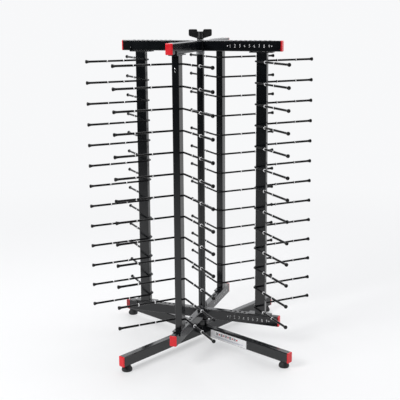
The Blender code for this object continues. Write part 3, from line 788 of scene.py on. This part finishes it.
def crosses():
    """Both crosses, with red plugs in the ends of their arms."""
    for level, body, box in CROSSES:
        base_z = box[0].z
        for tube_name in ("long", "back", "front"):
            cross_arm(level, tube_name, body, base_z)
        welds = corner_welds(base_z, base_z + TUBE_HEIGHT)
        piece(f"{level}_cross_welds", welds, body, POWDER, crisp=WELD_CRISP_ANGLE)
        for side, angle in ARMS.items():
            plug = shifted(cap(CAP_FACE, CROSS_REACH), (0, 0, base_z + TUBE_HEIGHT / 2))
            piece(f"{level}_plug_{side}", plug, body, RED, [f"{level}_cap_{side}"], angle)


# ---------------------------------------------------------------- legs, feet and label


def foot_body():
    """A bell-shaped rubber foot with a soft waist, open for its screw."""
    top = LEG_BASE_Z - FIT_GAP
    profile = [(radius * MM, z * MM) for radius, z in FOOT_PROFILE]
    profile += [
        (FOOT_TOP_RADIUS, top - FOOT_TOP_EDGE), (FOOT_TOP_RADIUS - FOOT_TOP_EDGE, top),
        (SCREW_BORE, top), (SCREW_BORE, FOOT_RECESS_HEIGHT), (FOOT_RECESS_RADIUS, FOOT_RECESS_HEIGHT),
    ]
    return turned(profile, FOOT_SIDES, looped=True)


def legs():
    """Leg tubes, their plugs and feet."""
    middle_z = LEG_BASE_Z + TUBE_HEIGHT / 2
    half_start = TUBE_WIDTH / 2 + FIT_GAP
    for name, start, angle in (
        ("long", -LEG_REACH, LEG_TURN),
        ("back_right", half_start, LEGS["back_right"]),
        ("front_left", half_start, LEGS["front_left"]),
    ):
        leg = tube(start, LEG_REACH, middle_z)
        made = piece(f"leg_tube_{name}", leg, "base", POWDER, [f"leg_{name}"], angle)
        places = [FOOT_DISTANCE, -FOOT_DISTANCE] if name == "long" else [FOOT_DISTANCE]
        drill(made, places, LEG_BASE_Z - CUT_PAST, LEG_BASE_Z + CUT_INTO, SCREW_BORE, angle=angle)
        if name == "long":
            drill(made, [0.0], LEG_TOP_Z - CUT_INTO, LEG_TOP_Z + CUT_PAST, PIVOT_BORE, BORE_SIDES)
    welds = corner_welds(LEG_BASE_Z, LEG_TOP_Z)
    piece("leg_welds", welds, "base", POWDER, angle=LEG_TURN, crisp=WELD_CRISP_ANGLE)
    for side, angle in LEGS.items():
        plug = shifted(cap(LEG_FACE, LEG_REACH), (0, 0, middle_z))
        piece(f"leg_plug_{side}", plug, "base", RED, [f"leg_cap_{side}"], angle)
        foot = shifted(foot_body(), (FOOT_DISTANCE, 0, 0))
        piece(f"rubber_foot_{side}", foot, "base", RUBBER, [f"foot_{side}"], angle, RUBBER_CRISP_ANGLE)
        plated(f"foot_screw_{side}")


def flat_shape(x, z, outline, depth, side_face):
    """A thin raised shape on a side face that looks towards -Y."""
    near = [Vector((x + p.x, side_face - depth, z + p.y)) for p in outline]
    far = [Vector((x + p.x, side_face, z + p.y)) for p in outline]
    return loft([near, far])


def label():
    """White plate on the front right leg with a plain graphic of plates, dots and rules."""
    base_z, height = LABEL_BOX[0].z, LABEL_BOX[1].z - LABEL_BOX[0].z
    length, middle = LABEL_END - LABEL_START, (LABEL_START + LABEL_END) / 2
    middle_z = base_z + height / 2
    face = -TUBE_WIDTH / 2 - FIT_GAP
    print_face = face - FILM_DEPTH
    film = flat_shape(middle, middle_z, rounded_rectangle(length, height, LABEL_CORNER), FILM_DEPTH, face)
    piece("label_film", film, "base", LABEL_FILM, ["label_plate"], LEG_TURN)
    upper_z = middle_z + MARK_RISE
    plate = rounded_rectangle(PLATE_LENGTH, PLATE_THICKNESS, PLATE_CORNER)
    dot = circle(MARK_DOT_RADIUS, HOLE_SIDES)
    plates, dots, rules = [], [], []
    for k in range(MARK_COUNT):
        x = LABEL_START + FIRST_MARK + k * MARK_PITCH
        for row in (-1, 0, 1):
            plates.append(flat_shape(x, upper_z + row * PLATE_PITCH, plate, INK_DEPTH, print_face))
        dots.append(flat_shape(x + MARK_PITCH / 2, upper_z, dot, INK_DEPTH, print_face))
    for row, share in enumerate(RULE_SHARES):
        rule = rounded_rectangle(share * length, RULE_THICKNESS, RULE_CORNER)
        z = middle_z - RULE_DROP - row * RULE_PITCH
        rules.append(flat_shape(middle, z, rule, INK_DEPTH, print_face))
    piece("label_plates_graphic", merge(plates), "base", DARK_INK, angle=LEG_TURN)
    piece("label_dots_graphic", merge(dots), "base", RED_INK, angle=LEG_TURN)
    piece("label_rules_graphic", merge(rules), "base", BLUE_INK, angle=LEG_TURN)


# ---------------------------------------------------------------- hub, centre post and bolts


def hub():
    """Swivel housing on the legs, and the spindle with its plate under the lower cross."""
    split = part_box("swivel_housing")[1].z
    housing = bored_cylinder(PIVOT_BORE, HUB_RADIUS, LEG_TOP_Z + FIT_GAP, split, HUB_LIP)
    piece("hub_housing", housing, "base", POWDER, ["swivel_housing"])
    rim = HUB_RADIUS - HUB_LIP
    base, top = split + FIT_GAP, LOWER_BOX[0].z - FIT_GAP
    plate_low = top - HUB_PLATE_THICKNESS
    boss = [
        (PIVOT_BORE, base), (rim, base), (HUB_RADIUS, base + HUB_LIP),
        (HUB_RADIUS, plate_low - HUB_LIP / 2), (rim, plate_low), (PIVOT_BORE, plate_low),
    ]
    piece("hub_spindle", turned(boss, HUB_SIDES, looped=True), "rack", POWDER, ["swivel_spindle"])
    outline = rounded_rectangle(*HUB_PLATE_SIZE, HUB_PLATE_CORNER)
    plate = loft([[Vector((p.x, p.y, z)) for p in outline] for z in (plate_low, top)])
    bolted = piece("hub_plate", plate, "rack", POWDER)
    drill(bolted, [0.0], plate_low - CUT_PAST, top + CUT_PAST, PIVOT_BORE, BORE_SIDES)
    plated("pivot_bolt")


def centre_post():
    """Round post with the weld at its foot and the grey collar in its top."""
    low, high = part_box("centre_post")[0].z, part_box("centre_post")[1].z
    wall = bored_cylinder(CENTRE_INNER_RADIUS, CENTRE_RADIUS, low, high, CENTRE_EDGE)
    piece("centre_tube", wall, "rack", POWDER, ["centre_post"])
    weld = [(CENTRE_RADIUS + out * MM, low + up * MM) for out, up in CENTRE_WELD]
    piece("centre_weld", turned(weld, HUB_SIDES, looped=True), "rack", POWDER, crisp=WELD_CRISP_ANGLE)
    low, high = high + FIT_GAP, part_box("centre_post_collar")[1].z
    ring = [
        (STUD_BORE, low - COLLAR_SPIGOT_LENGTH), (COLLAR_SPIGOT_RADIUS, low - COLLAR_SPIGOT_LENGTH),
        (COLLAR_SPIGOT_RADIUS, low), (COLLAR_RIM_RADIUS, low), (COLLAR_RADIUS, low + COLLAR_EDGE),
        (COLLAR_RADIUS, high - COLLAR_EDGE), (COLLAR_RIM_RADIUS, high), (STUD_BORE, high),
    ]
    piece("centre_collar", turned(ring, HUB_SIDES, looped=True), "rack", COLLAR, ["centre_post_collar"])


def domed_bolts():
    """The two domed black bolts beside the foot of the centre post."""
    seat = LOWER_BOX[1].z + FIT_GAP
    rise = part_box("cross_bolt_back")[1].z - seat
    profile = [
        (BOLT_SHANK_RADIUS, LOWER_BOX[0].z - BOLT_TAIL), (BOLT_SHANK_RADIUS, seat),
        (BOLT_HEAD_RADIUS - BOLT_EDGE, seat), (BOLT_HEAD_RADIUS, seat + BOLT_EDGE),
    ]
    for step in range(DOME_STEPS):
        angle = math.radians(90 * step / DOME_STEPS)
        share = BOLT_WALL_SHARE + (1 - BOLT_WALL_SHARE) * math.sin(angle)
        profile.append((BOLT_HEAD_RADIUS * math.cos(angle), seat + share * rise))
    profile.append((BOLT_TIP_RADIUS, seat + rise))
    for side, y in (("back", BOLT_PLACE), ("front", -BOLT_PLACE)):
        bolt = shifted(turned(profile, BOLT_SIDES), (0, y, 0))
        piece(f"domed_bolt_{side}", bolt, "rack", PLASTIC, [f"cross_bolt_{side}"], crisp=BOLT_CRISP_ANGLE)


# ---------------------------------------------------------------- posts and wires


def wire_line():
    """(point, tangent) stations along one V wire at height zero, from its -Y tip to its +Y tip."""
    reach = BEND_RADIUS * math.tan(ARM_ANGLE / 2)
    bend = Vector((WEB_R, WEB_HALF_WIDTH, 0))
    centre = Vector((WEB_R + BEND_RADIUS, WEB_HALF_WIDTH - reach, 0))
    stations = []
    for step in range(BEND_STEPS + 1):
        angle = math.pi - ARM_ANGLE * step / BEND_STEPS
        place = centre + BEND_RADIUS * Vector((math.cos(angle), math.sin(angle), 0))
        stations.append((place, Vector((math.sin(angle), -math.cos(angle), 0))))
    stations.append((bend + ARM_DIRECTION * (ARM_LENGTH - WIRE_STOP), ARM_DIRECTION))
    mirrored = [(Vector((p.x, -p.y, p.z)), Vector((-t.x, t.y, 0))) for p, t in reversed(stations)]
    return mirrored + stations


def at_every_level(mesh):
    """Copies of a mesh on each of the thirteen levels."""
    copies = [copied(mesh, (0, 0, FIRST_LEVEL_Z + k * LEVEL_PITCH)) for k in range(LEVEL_COUNT)]
    mesh.free()
    return merge(copies)


def arm_solid(sign, profile, sides):
    """A turned solid on one wire arm, from (distance, radius) points; sign picks the arm."""
    direction = Vector((ARM_DIRECTION.x, sign * ARM_DIRECTION.y, 0))
    bend = Vector((WEB_R, sign * WEB_HALF_WIDTH, 0))
    return loft(rings_along([(bend + direction * d, direction, r) for d, r in profile], sides))


def sleeve_profile(start, end):
    """Rubber sleeve between the rings."""
    points = [(start, SLEEVE_RADIUS - SLEEVE_EDGE), (start + SLEEVE_EDGE, SLEEVE_RADIUS)]
    return points + [(start + end - d, r) for d, r in reversed(points)]


def ring_profile(middle):
    """A silicone stop ring with rounded shoulders."""
    start = middle - RING_LENGTH / 2
    points = []
    for step in range(RING_STEPS + 1):
        angle = math.radians(90 * step / RING_STEPS)
        drop = RING_SHOULDER * (1 - math.sin(angle))
        points.append((start + RING_SHOULDER * (1 - math.cos(angle)), RING_RADIUS - drop))
    return points + [(2 * middle - d, r) for d, r in reversed(points)]


def bell_profile(start):
    """Grip sleeve that flares into a bell with a rounded lip and a hollow end."""
    neck = ARM_LENGTH - BELL_LENGTH
    points = [(start, GRIP_RADIUS - SLEEVE_EDGE), (start + SLEEVE_EDGE, GRIP_RADIUS), (neck, GRIP_RADIUS)]
    for step in range(1, BELL_STEPS + 1):
        share = step / BELL_STEPS
        radius = GRIP_RADIUS + share**2 * (BELL_RADIUS - GRIP_RADIUS)
        points.append((neck + share * (BELL_LENGTH - BELL_RIM), radius))
    return points + [(ARM_LENGTH - back * MM, BELL_RADIUS - inset * MM) for back, inset in BELL_LIP]


def weld_bead():
    """Two small runs of weld, over and under a wire's web, between it and the face of its post."""
    rings = []
    for step in range(BEAD_STEPS + 1):
        share = step / BEAD_STEPS
        swell = BEAD_END_SHARE + (1 - BEAD_END_SHARE) * math.sin(math.pi * share)
        out, up = BEAD_WIDTH * swell, BEAD_HEIGHT * swell
        middle = Vector((WEB_R + BEAD_OUT, (share - 0.5) * BEAD_LENGTH, BEAD_RISE))
        rings.append([middle + Vector((out * p.x, 0, up * p.y)) for p in circle(1, BEAD_SIDES)])
    over = loft(rings)
    under = over.copy()
    bmesh.ops.scale(under, vec=(1, 1, -1), verts=under.verts)
    return merge([over, under])


def post_tube():
    """Upright tube of a post."""
    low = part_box("post_right_lower_flange")[1].z + FIT_GAP
    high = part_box("post_right_upper_flange")[0].z - FIT_GAP
    return shifted(rotated(tube(low, high), -math.pi / 2, "Y"), (POST_MIDDLE_R, 0, 0))


def flange(face_z, outward):
    """End plate of a post with rounded corners; two tabs straddle the arm."""
    middle, plate_length = (FLANGE_INNER_R + FLANGE_OUTER_R) / 2, FLANGE_OUTER_R - FLANGE_INNER_R
    back_z = face_z - outward * FLANGE_THICKNESS
    rings = []
    for z, inset in (
        (back_z, FLANGE_EDGE), (back_z + outward * FLANGE_EDGE, 0),
        (face_z - outward * FLANGE_EDGE, 0), (face_z, FLANGE_EDGE),
    ):
        plate_width = 2 * (FLANGE_HALF_WIDTH - inset)
        outline = rounded_rectangle(plate_length - 2 * inset, plate_width, FLANGE_CORNER - inset)
        rings.append([Vector((middle + p.x, p.y, z)) for p in outline])
    meshes = [loft(rings)]
    reach, side = TAB_LENGTH / 2, FLANGE_HALF_WIDTH - TAB_THICKNESS / 2
    for x, y in ((FLANGE_OUTER_R - reach, side), (FLANGE_INNER_R + reach, -side)):
        tab = []
        for height, inset in TAB_ROWS:
            narrowing = inset * MM
            length, thickness = TAB_LENGTH - 2 * narrowing, TAB_THICKNESS - 0.5 * narrowing
            outline = rounded_rectangle(length, thickness, TAB_CORNER)
            z = face_z + outward * height * MM
            tab.append([Vector((x + p.x, y + p.y, z)) for p in outline])
        meshes.append(loft(tab))
    return merge(meshes)


def post_end(side, angle, level, face_z, outward):
    """One end of a post: the plate with its hole, the weld round the tube, and the peg's plating."""
    body = f"{side}_post"
    plate = piece(f"end_plate_{side}_{level}", flange(face_z, outward), body, POWDER,
                  [f"post_{side}_{level}_flange"], angle)
    reach = 2 * FLANGE_THICKNESS
    drill(plate, [REST_HOLE_R], face_z - reach, face_z + reach, PEG_BORE, angle=angle)
    outline = rounded_rectangle(TUBE_WIDTH, TUBE_HEIGHT, TUBE_CORNER)
    foot_plan = [Vector((POST_MIDDLE_R + p.y, p.x)) for p in reversed(outline)]
    weld = fillet_ring(foot_plan, face_z - outward * FLANGE_THICKNESS, -outward, FLANGE_WELD)
    piece(f"post_weld_{side}_{level}", weld, body, POWDER, angle=angle, crisp=WELD_CRISP_ANGLE)
    plated(f"post_{side}_{level}_peg")


def post(side, angle):
    """One post: tube, end plates, wires, sleeves, rings, bells and weld beads."""
    body = f"{side}_post"
    piece(f"post_tube_{side}", post_tube(), body, POWDER, [f"post_{side}"], angle)
    wire = loft(rings_along([(*station, WIRE_RADIUS) for station in wire_line()], WIRE_SIDES))
    piece(f"wires_{side}", at_every_level(wire), body, WIRE, angle=angle, crisp=WELD_CRISP_ANGLE)
    piece(f"welds_{side}", at_every_level(weld_bead()), body, WIRE, angle=angle, crisp=WELD_CRISP_ANGLE)
    for sign, name in ((-1, "a"), (1, "b")):
        first, second = (distance * MM for distance in RING_SPOTS[side, sign])
        half = RING_LENGTH / 2
        sleeve = arm_solid(sign, sleeve_profile(first + half, second - half), SLEEVE_SIDES)
        rings = merge([arm_solid(sign, ring_profile(spot), RING_SIDES) for spot in (first, second)])
        bell = arm_solid(sign, bell_profile(second + half), RING_SIDES)
        for kind, mesh, look in (
            ("sleeves", sleeve, SLEEVE), ("rings", rings, SILICONE), ("bells", bell, SLEEVE),
        ):
            thirteen = at_every_level(mesh)
            piece(f"{kind}_{side}_{name}", thirteen, body, look, angle=angle, crisp=RUBBER_CRISP_ANGLE)
    post_end(side, angle, "lower", LOWER_BOX[1].z + FIT_GAP, -1)
    post_end(side, angle, "upper", UPPER_BOX[0].z - FIT_GAP, 1)


def rivets():
    """Two small plated rivets high on the outer face of the front post."""
    profile = [(radius * MM, rise * MM) for radius, rise in RIVET_PROFILE]
    heads = []
    for drop in RIVET_DROPS:
        head = rotated(turned(profile, RIVET_SIDES), math.pi / 2, "Y")
        heads.append(shifted(head, (POST_INNER_R + TUBE_HEIGHT, 0, UPPER_BOX[0].z - drop)))
    piece("front_post_rivets", merge(heads), "front_post", ZINC, angle=ARMS["front"])


# ---------------------------------------------------------------- numbers


def glyph(text):
    """A thin raised character that faces -Y, centred on the origin."""
    curve = bpy.data.curves.new("glyph", "FONT")
    curve.body = text
    curve.size = FONT_SIZE
    curve.align_x = "CENTER"
    curve.align_y = "CENTER"
    curve.resolution_u = 3
    curve.extrude = GLYPH_RELIEF
    holder = placed("glyph", curve)
    bpy.context.view_layer.update()
    graph = bpy.context.evaluated_depsgraph_get()
    data = bpy.data.meshes.new_from_object(holder.evaluated_get(graph))
    mesh = bmesh.new()
    mesh.from_mesh(data)
    bpy.data.objects.remove(holder)
    bpy.data.meshes.remove(data)
    rotated(mesh, math.pi / 2, "X")
    low, high = (pick(vert.co.x for vert in mesh.verts) for pick in (min, max))
    bottom, top = (pick(vert.co.z for vert in mesh.verts) for pick in (min, max))
    shifted(mesh, (-(low + high) / 2, 0, -(bottom + top) / 2))
    bmesh.ops.scale(mesh, vec=(GLYPH_NARROWING, 1, 1), verts=mesh.verts)
    return mesh


def numbers():
    """Hole numbers 1 to 9 and a dot at each end, on one side of every arm of both crosses."""
    face = -TUBE_WIDTH / 2
    row = []
    for k, x in enumerate(hole_radii(both_ways=False)):
        row.append(shifted(glyph(str(k + 1)), (x, face - GLYPH_STANDOFF, 0)))
    for x in (FIRST_HOLE_R - DOT_BEFORE, LAST_HOLE_R + DOT_AFTER):
        row.append(flat_shape(x, 0, circle(DOT_RADIUS, DOT_SIDES), DOT_RELIEF, face))
    whole = merge(row)
    for level, body, box in CROSSES:
        middle_z = (box[0].z + box[1].z) / 2
        for side, angle in ARMS.items():
            piece(f"{level}_numbers_{side}", copied(whole, (0, 0, middle_z)), body, WHITE_INK, angle=angle)
    whole.free()


# ---------------------------------------------------------------- knob


def wing_outline(inset):
    """Outline of the knob's two wings, drawn in by inset, with a notch in the middle of the top."""
    top, notch = KNOB_TOP - inset, KNOB_NOTCH_Z - inset
    base, root = KNOB_WING_BASE_Z + inset, KNOB_ROOT_Z + inset
    right = [
        # half width and height in metres, corner radius in millimetres
        (KNOB_SPAN - inset, base, 4),
        (KNOB_SPAN - inset, top, 4),
        (KNOB_NOTCH_MOUTH + inset, top, 2.5),
        (KNOB_NOTCH_FLOOR + inset, notch, 1),
    ]
    corners = right + [(-x, z, radius) for x, z, radius in reversed(right)]
    corners += [(-KNOB_ROOT_WIDTH, root, 1), (KNOB_ROOT_WIDTH, root, 1)]
    outline = []
    for k, (x, z, radius) in enumerate(corners):
        here = Vector((x, z))
        before = (Vector(corners[k - 1][:2]) - here).normalized()
        after = (Vector(corners[(k + 1) % len(corners)][:2]) - here).normalized()
        reach = max(radius * MM - 0.6 * inset, 0.3 * MM)
        start, end = here + before * reach, here + after * reach
        for step in range(KNOB_CORNER_STEPS + 1):
            t = step / KNOB_CORNER_STEPS
            outline.append(start.lerp(here, t).lerp(here.lerp(end, t), t))
    return outline


def knob():
    """Wing knob with recessed, softly rounded wings on a turned hub, and the washer under it."""
    section = KNOB_SECTION + tuple((-y, inset) for y, inset in reversed(KNOB_SECTION))
    rings = [[Vector((p.x, y * MM, p.y)) for p in wing_outline(inset * MM)] for y, inset in section]
    wings = piece("knob_wings", loft(rings), "knob", PLASTIC, ["wing_knob"], KNOB_TURN, KNOB_CRISP_ANGLE)
    low = KNOB_BOX[0].z
    corners = [
        (STUD_BORE, low), (KNOB_HUB_RADIUS, low), (KNOB_HUB_RADIUS, KNOB_SHOULDER_Z),
        (KNOB_CROWN_RADIUS, KNOB_CROWN_Z), (KNOB_TIP_RADIUS, KNOB_CROWN_Z),
    ]
    middle = turned(rounded_profile(corners, KNOB_HUB_ROUNDING), KNOB_SIDES)
    body = piece("knob_hub", middle, "knob", PLASTIC, angle=KNOB_TURN, crisp=KNOB_CRISP_ANGLE)
    for made in (body, wings):
        drill(made, [0.0], low - CUT_PAST, KNOB_BORE_TOP_Z, STUD_BORE, BORE_SIDES)
    washer_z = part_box("knob_washer")[0].z
    section = [(radius * MM, washer_z + z * MM) for radius, z in WASHER_SECTION]
    washer = turned(section, KNOB_SIDES, looped=True)
    piece("plated_washer", washer, "knob_carrier", ZINC, ["knob_washer"])
    plated("knob_stud")


# ---------------------------------------------------------------- studio


def brightness_by_direction(nodes, links, direction, brightest):
    """Node that gives the studio's brightness in a direction: white behind the rack, dark in front."""
    facing = nodes.new("ShaderNodeVectorMath")
    facing.operation = "DOT_PRODUCT"
    facing.inputs[1].default_value = BRIGHT_SIDE
    links.new(direction, facing.inputs[0])
    limits = {"From_Min": 0.0, "From_Max": BRIGHT_SIDE_SOFTNESS, "To_Min": DARK_WALL, "To_Max": brightest}
    ramp = with_inputs(nodes.new("ShaderNodeMapRange"), **limits)
    ramp.interpolation_type = "SMOOTHSTEP"
    links.new(facing.outputs["Value"], ramp.inputs["Value"])
    return ramp


def stage_floor():
    """Pale floor that fades into the pale backdrop far from the rack."""
    mesh = bmesh.new()
    bmesh.ops.create_circle(mesh, cap_ends=True, segments=96, radius=FLOOR_RADIUS)
    floor = placed_mesh("studio_floor", mesh)
    material = bpy.data.materials.new("studio_floor")
    material.use_nodes = True
    nodes, links = material.node_tree.nodes, material.node_tree.links
    shader = with_inputs(nodes["Principled BSDF"], Base_Color=(*FLOOR_COLOR, 1), Roughness=FLOOR_ROUGHNESS)
    with_inputs(shader, Specular_IOR_Level=FLOOR_SHEEN)
    glow = with_inputs(nodes.new("ShaderNodeEmission"), Color=(*BACKDROP, 1))
    dim = with_inputs(nodes.new("ShaderNodeEmission"), Color=(*BACKDROP, 1))
    rays = nodes.new("ShaderNodeLightPath")
    far = nodes.new("ShaderNodeMixShader")
    links.new(rays.outputs["Is Camera Ray"], far.inputs["Fac"])
    links.new(dim.outputs["Emission"], far.inputs[1])
    links.new(glow.outputs["Emission"], far.inputs[2])
    place = nodes.new("ShaderNodeTexCoord")
    direction = nodes.new("ShaderNodeVectorMath")
    direction.operation = "NORMALIZE"
    links.new(place.outputs["Object"], direction.inputs[0])
    glare = brightness_by_direction(nodes, links, direction.outputs["Vector"], BRIGHT_FLOOR)
    links.new(glare.outputs["Result"], dim.inputs["Strength"])
    distance = nodes.new("ShaderNodeVectorMath")
    distance.operation = "LENGTH"
    links.new(place.outputs["Object"], distance.inputs[0])
    reach = {"From_Min": FLOOR_FADE_START, "From_Max": FLOOR_GLOW_END}
    near_glow = nodes.new("ShaderNodeMapRange")
    with_inputs(near_glow, **reach, To_Min=NEAR_FLOOR_GLOW, To_Max=DARK_WALL)
    links.new(distance.outputs["Value"], near_glow.inputs["Value"])
    links.new(near_glow.outputs["Result"], glare.inputs["To Min"])
    reach = {"From_Min": FLOOR_FADE_START, "From_Max": FLOOR_FADE_END}
    fade = with_inputs(nodes.new("ShaderNodeMapRange"), **reach, To_Min=FLOOR_LEAST_FADE)
    fade.interpolation_type = "SMOOTHSTEP"
    links.new(distance.outputs["Value"], fade.inputs["Value"])
    mix = nodes.new("ShaderNodeMixShader")
    links.new(fade.outputs["Result"], mix.inputs["Fac"])
    links.new(shader.outputs["BSDF"], mix.inputs[1])
    links.new(far.outputs["Shader"], mix.inputs[2])
    links.new(mix.outputs["Shader"], nodes["Material Output"].inputs["Surface"])
    floor.data.materials.append(material)


def surroundings():
    """Studio walls: white behind and to the right of the rack, dark on the camera's side."""
    world = bpy.data.worlds.new("studio")
    world.use_nodes = True
    bpy.context.scene.world = world
    nodes, links = world.node_tree.nodes, world.node_tree.links
    walls = nodes["Background"]
    with_inputs(walls, Color=(*WALL_COLOR, 1))
    backdrop = with_inputs(nodes.new("ShaderNodeBackground"), Color=(*BACKDROP, 1))
    place = nodes.new("ShaderNodeTexCoord")
    glare = brightness_by_direction(nodes, links, place.outputs["Generated"], BRIGHT_WALL)
    links.new(glare.outputs["Result"], walls.inputs["Strength"])
    rays = nodes.new("ShaderNodeLightPath")
    mix = nodes.new("ShaderNodeMixShader")
    links.new(rays.outputs["Is Camera Ray"], mix.inputs["Fac"])
    links.new(walls.outputs["Background"], mix.inputs[1])
    links.new(backdrop.outputs["Background"], mix.inputs[2])
    links.new(mix.outputs["Shader"], nodes["World Output"].inputs["Surface"])


def softbox(name, place, target, size, power):
    """A large rectangular lamp aimed at a point."""
    data = bpy.data.lights.new(name, "AREA")
    data.shape = "RECTANGLE"
    data.size, data.size_y = size
    data.energy = power
    lamp = placed(name, data)
    lamp.location = place
    lamp.rotation_euler = (Vector(target) - Vector(place)).to_track_quat("-Z", "Y").to_euler()


def lights():
    """Soft light from overhead, a stronger lamp high in front on the left, and a weak one on the right."""
    softbox("overhead_softbox", place=(0.1, 0.2, 2.6), target=(0, 0, 0.3), size=(2.4, 2.4), power=26)
    softbox("front_softbox", place=(-1.7, -2.6, 2.5), target=(0, 0, 0.4), size=(1.3, 1.3), power=92)
    softbox("right_softbox", place=(2.6, 0.9, 1.5), target=(0, 0, 0.4), size=(1.6, 1.6), power=8)


def camera():
    """Camera that looks a little down; its slight shift makes the rack's uprights converge less."""
    data = bpy.data.cameras.new("camera")
    data.lens = CAMERA_LENS
    data.shift_y = CAMERA_SHIFT_Y
    made = placed("camera", data)
    aim = (CAMERA_TARGET - CAMERA_PLACE).to_track_quat("-Z", "Y").to_matrix()
    rolled = aim @ Matrix.Rotation(CAMERA_ROLL, 3, "Z")
    made.matrix_world = Matrix.Translation(CAMERA_PLACE) @ rolled.to_4x4()
    bpy.context.scene.camera = made


crosses()
legs()
label()
hub()
centre_post()
domed_bolts()
for side, angle in ARMS.items():
    post(side, angle)
rivets()
numbers()
knob()
stage_floor()
surroundings()
lights()
camera()
bpy.context.scene.view_settings.view_transform = "Standard"
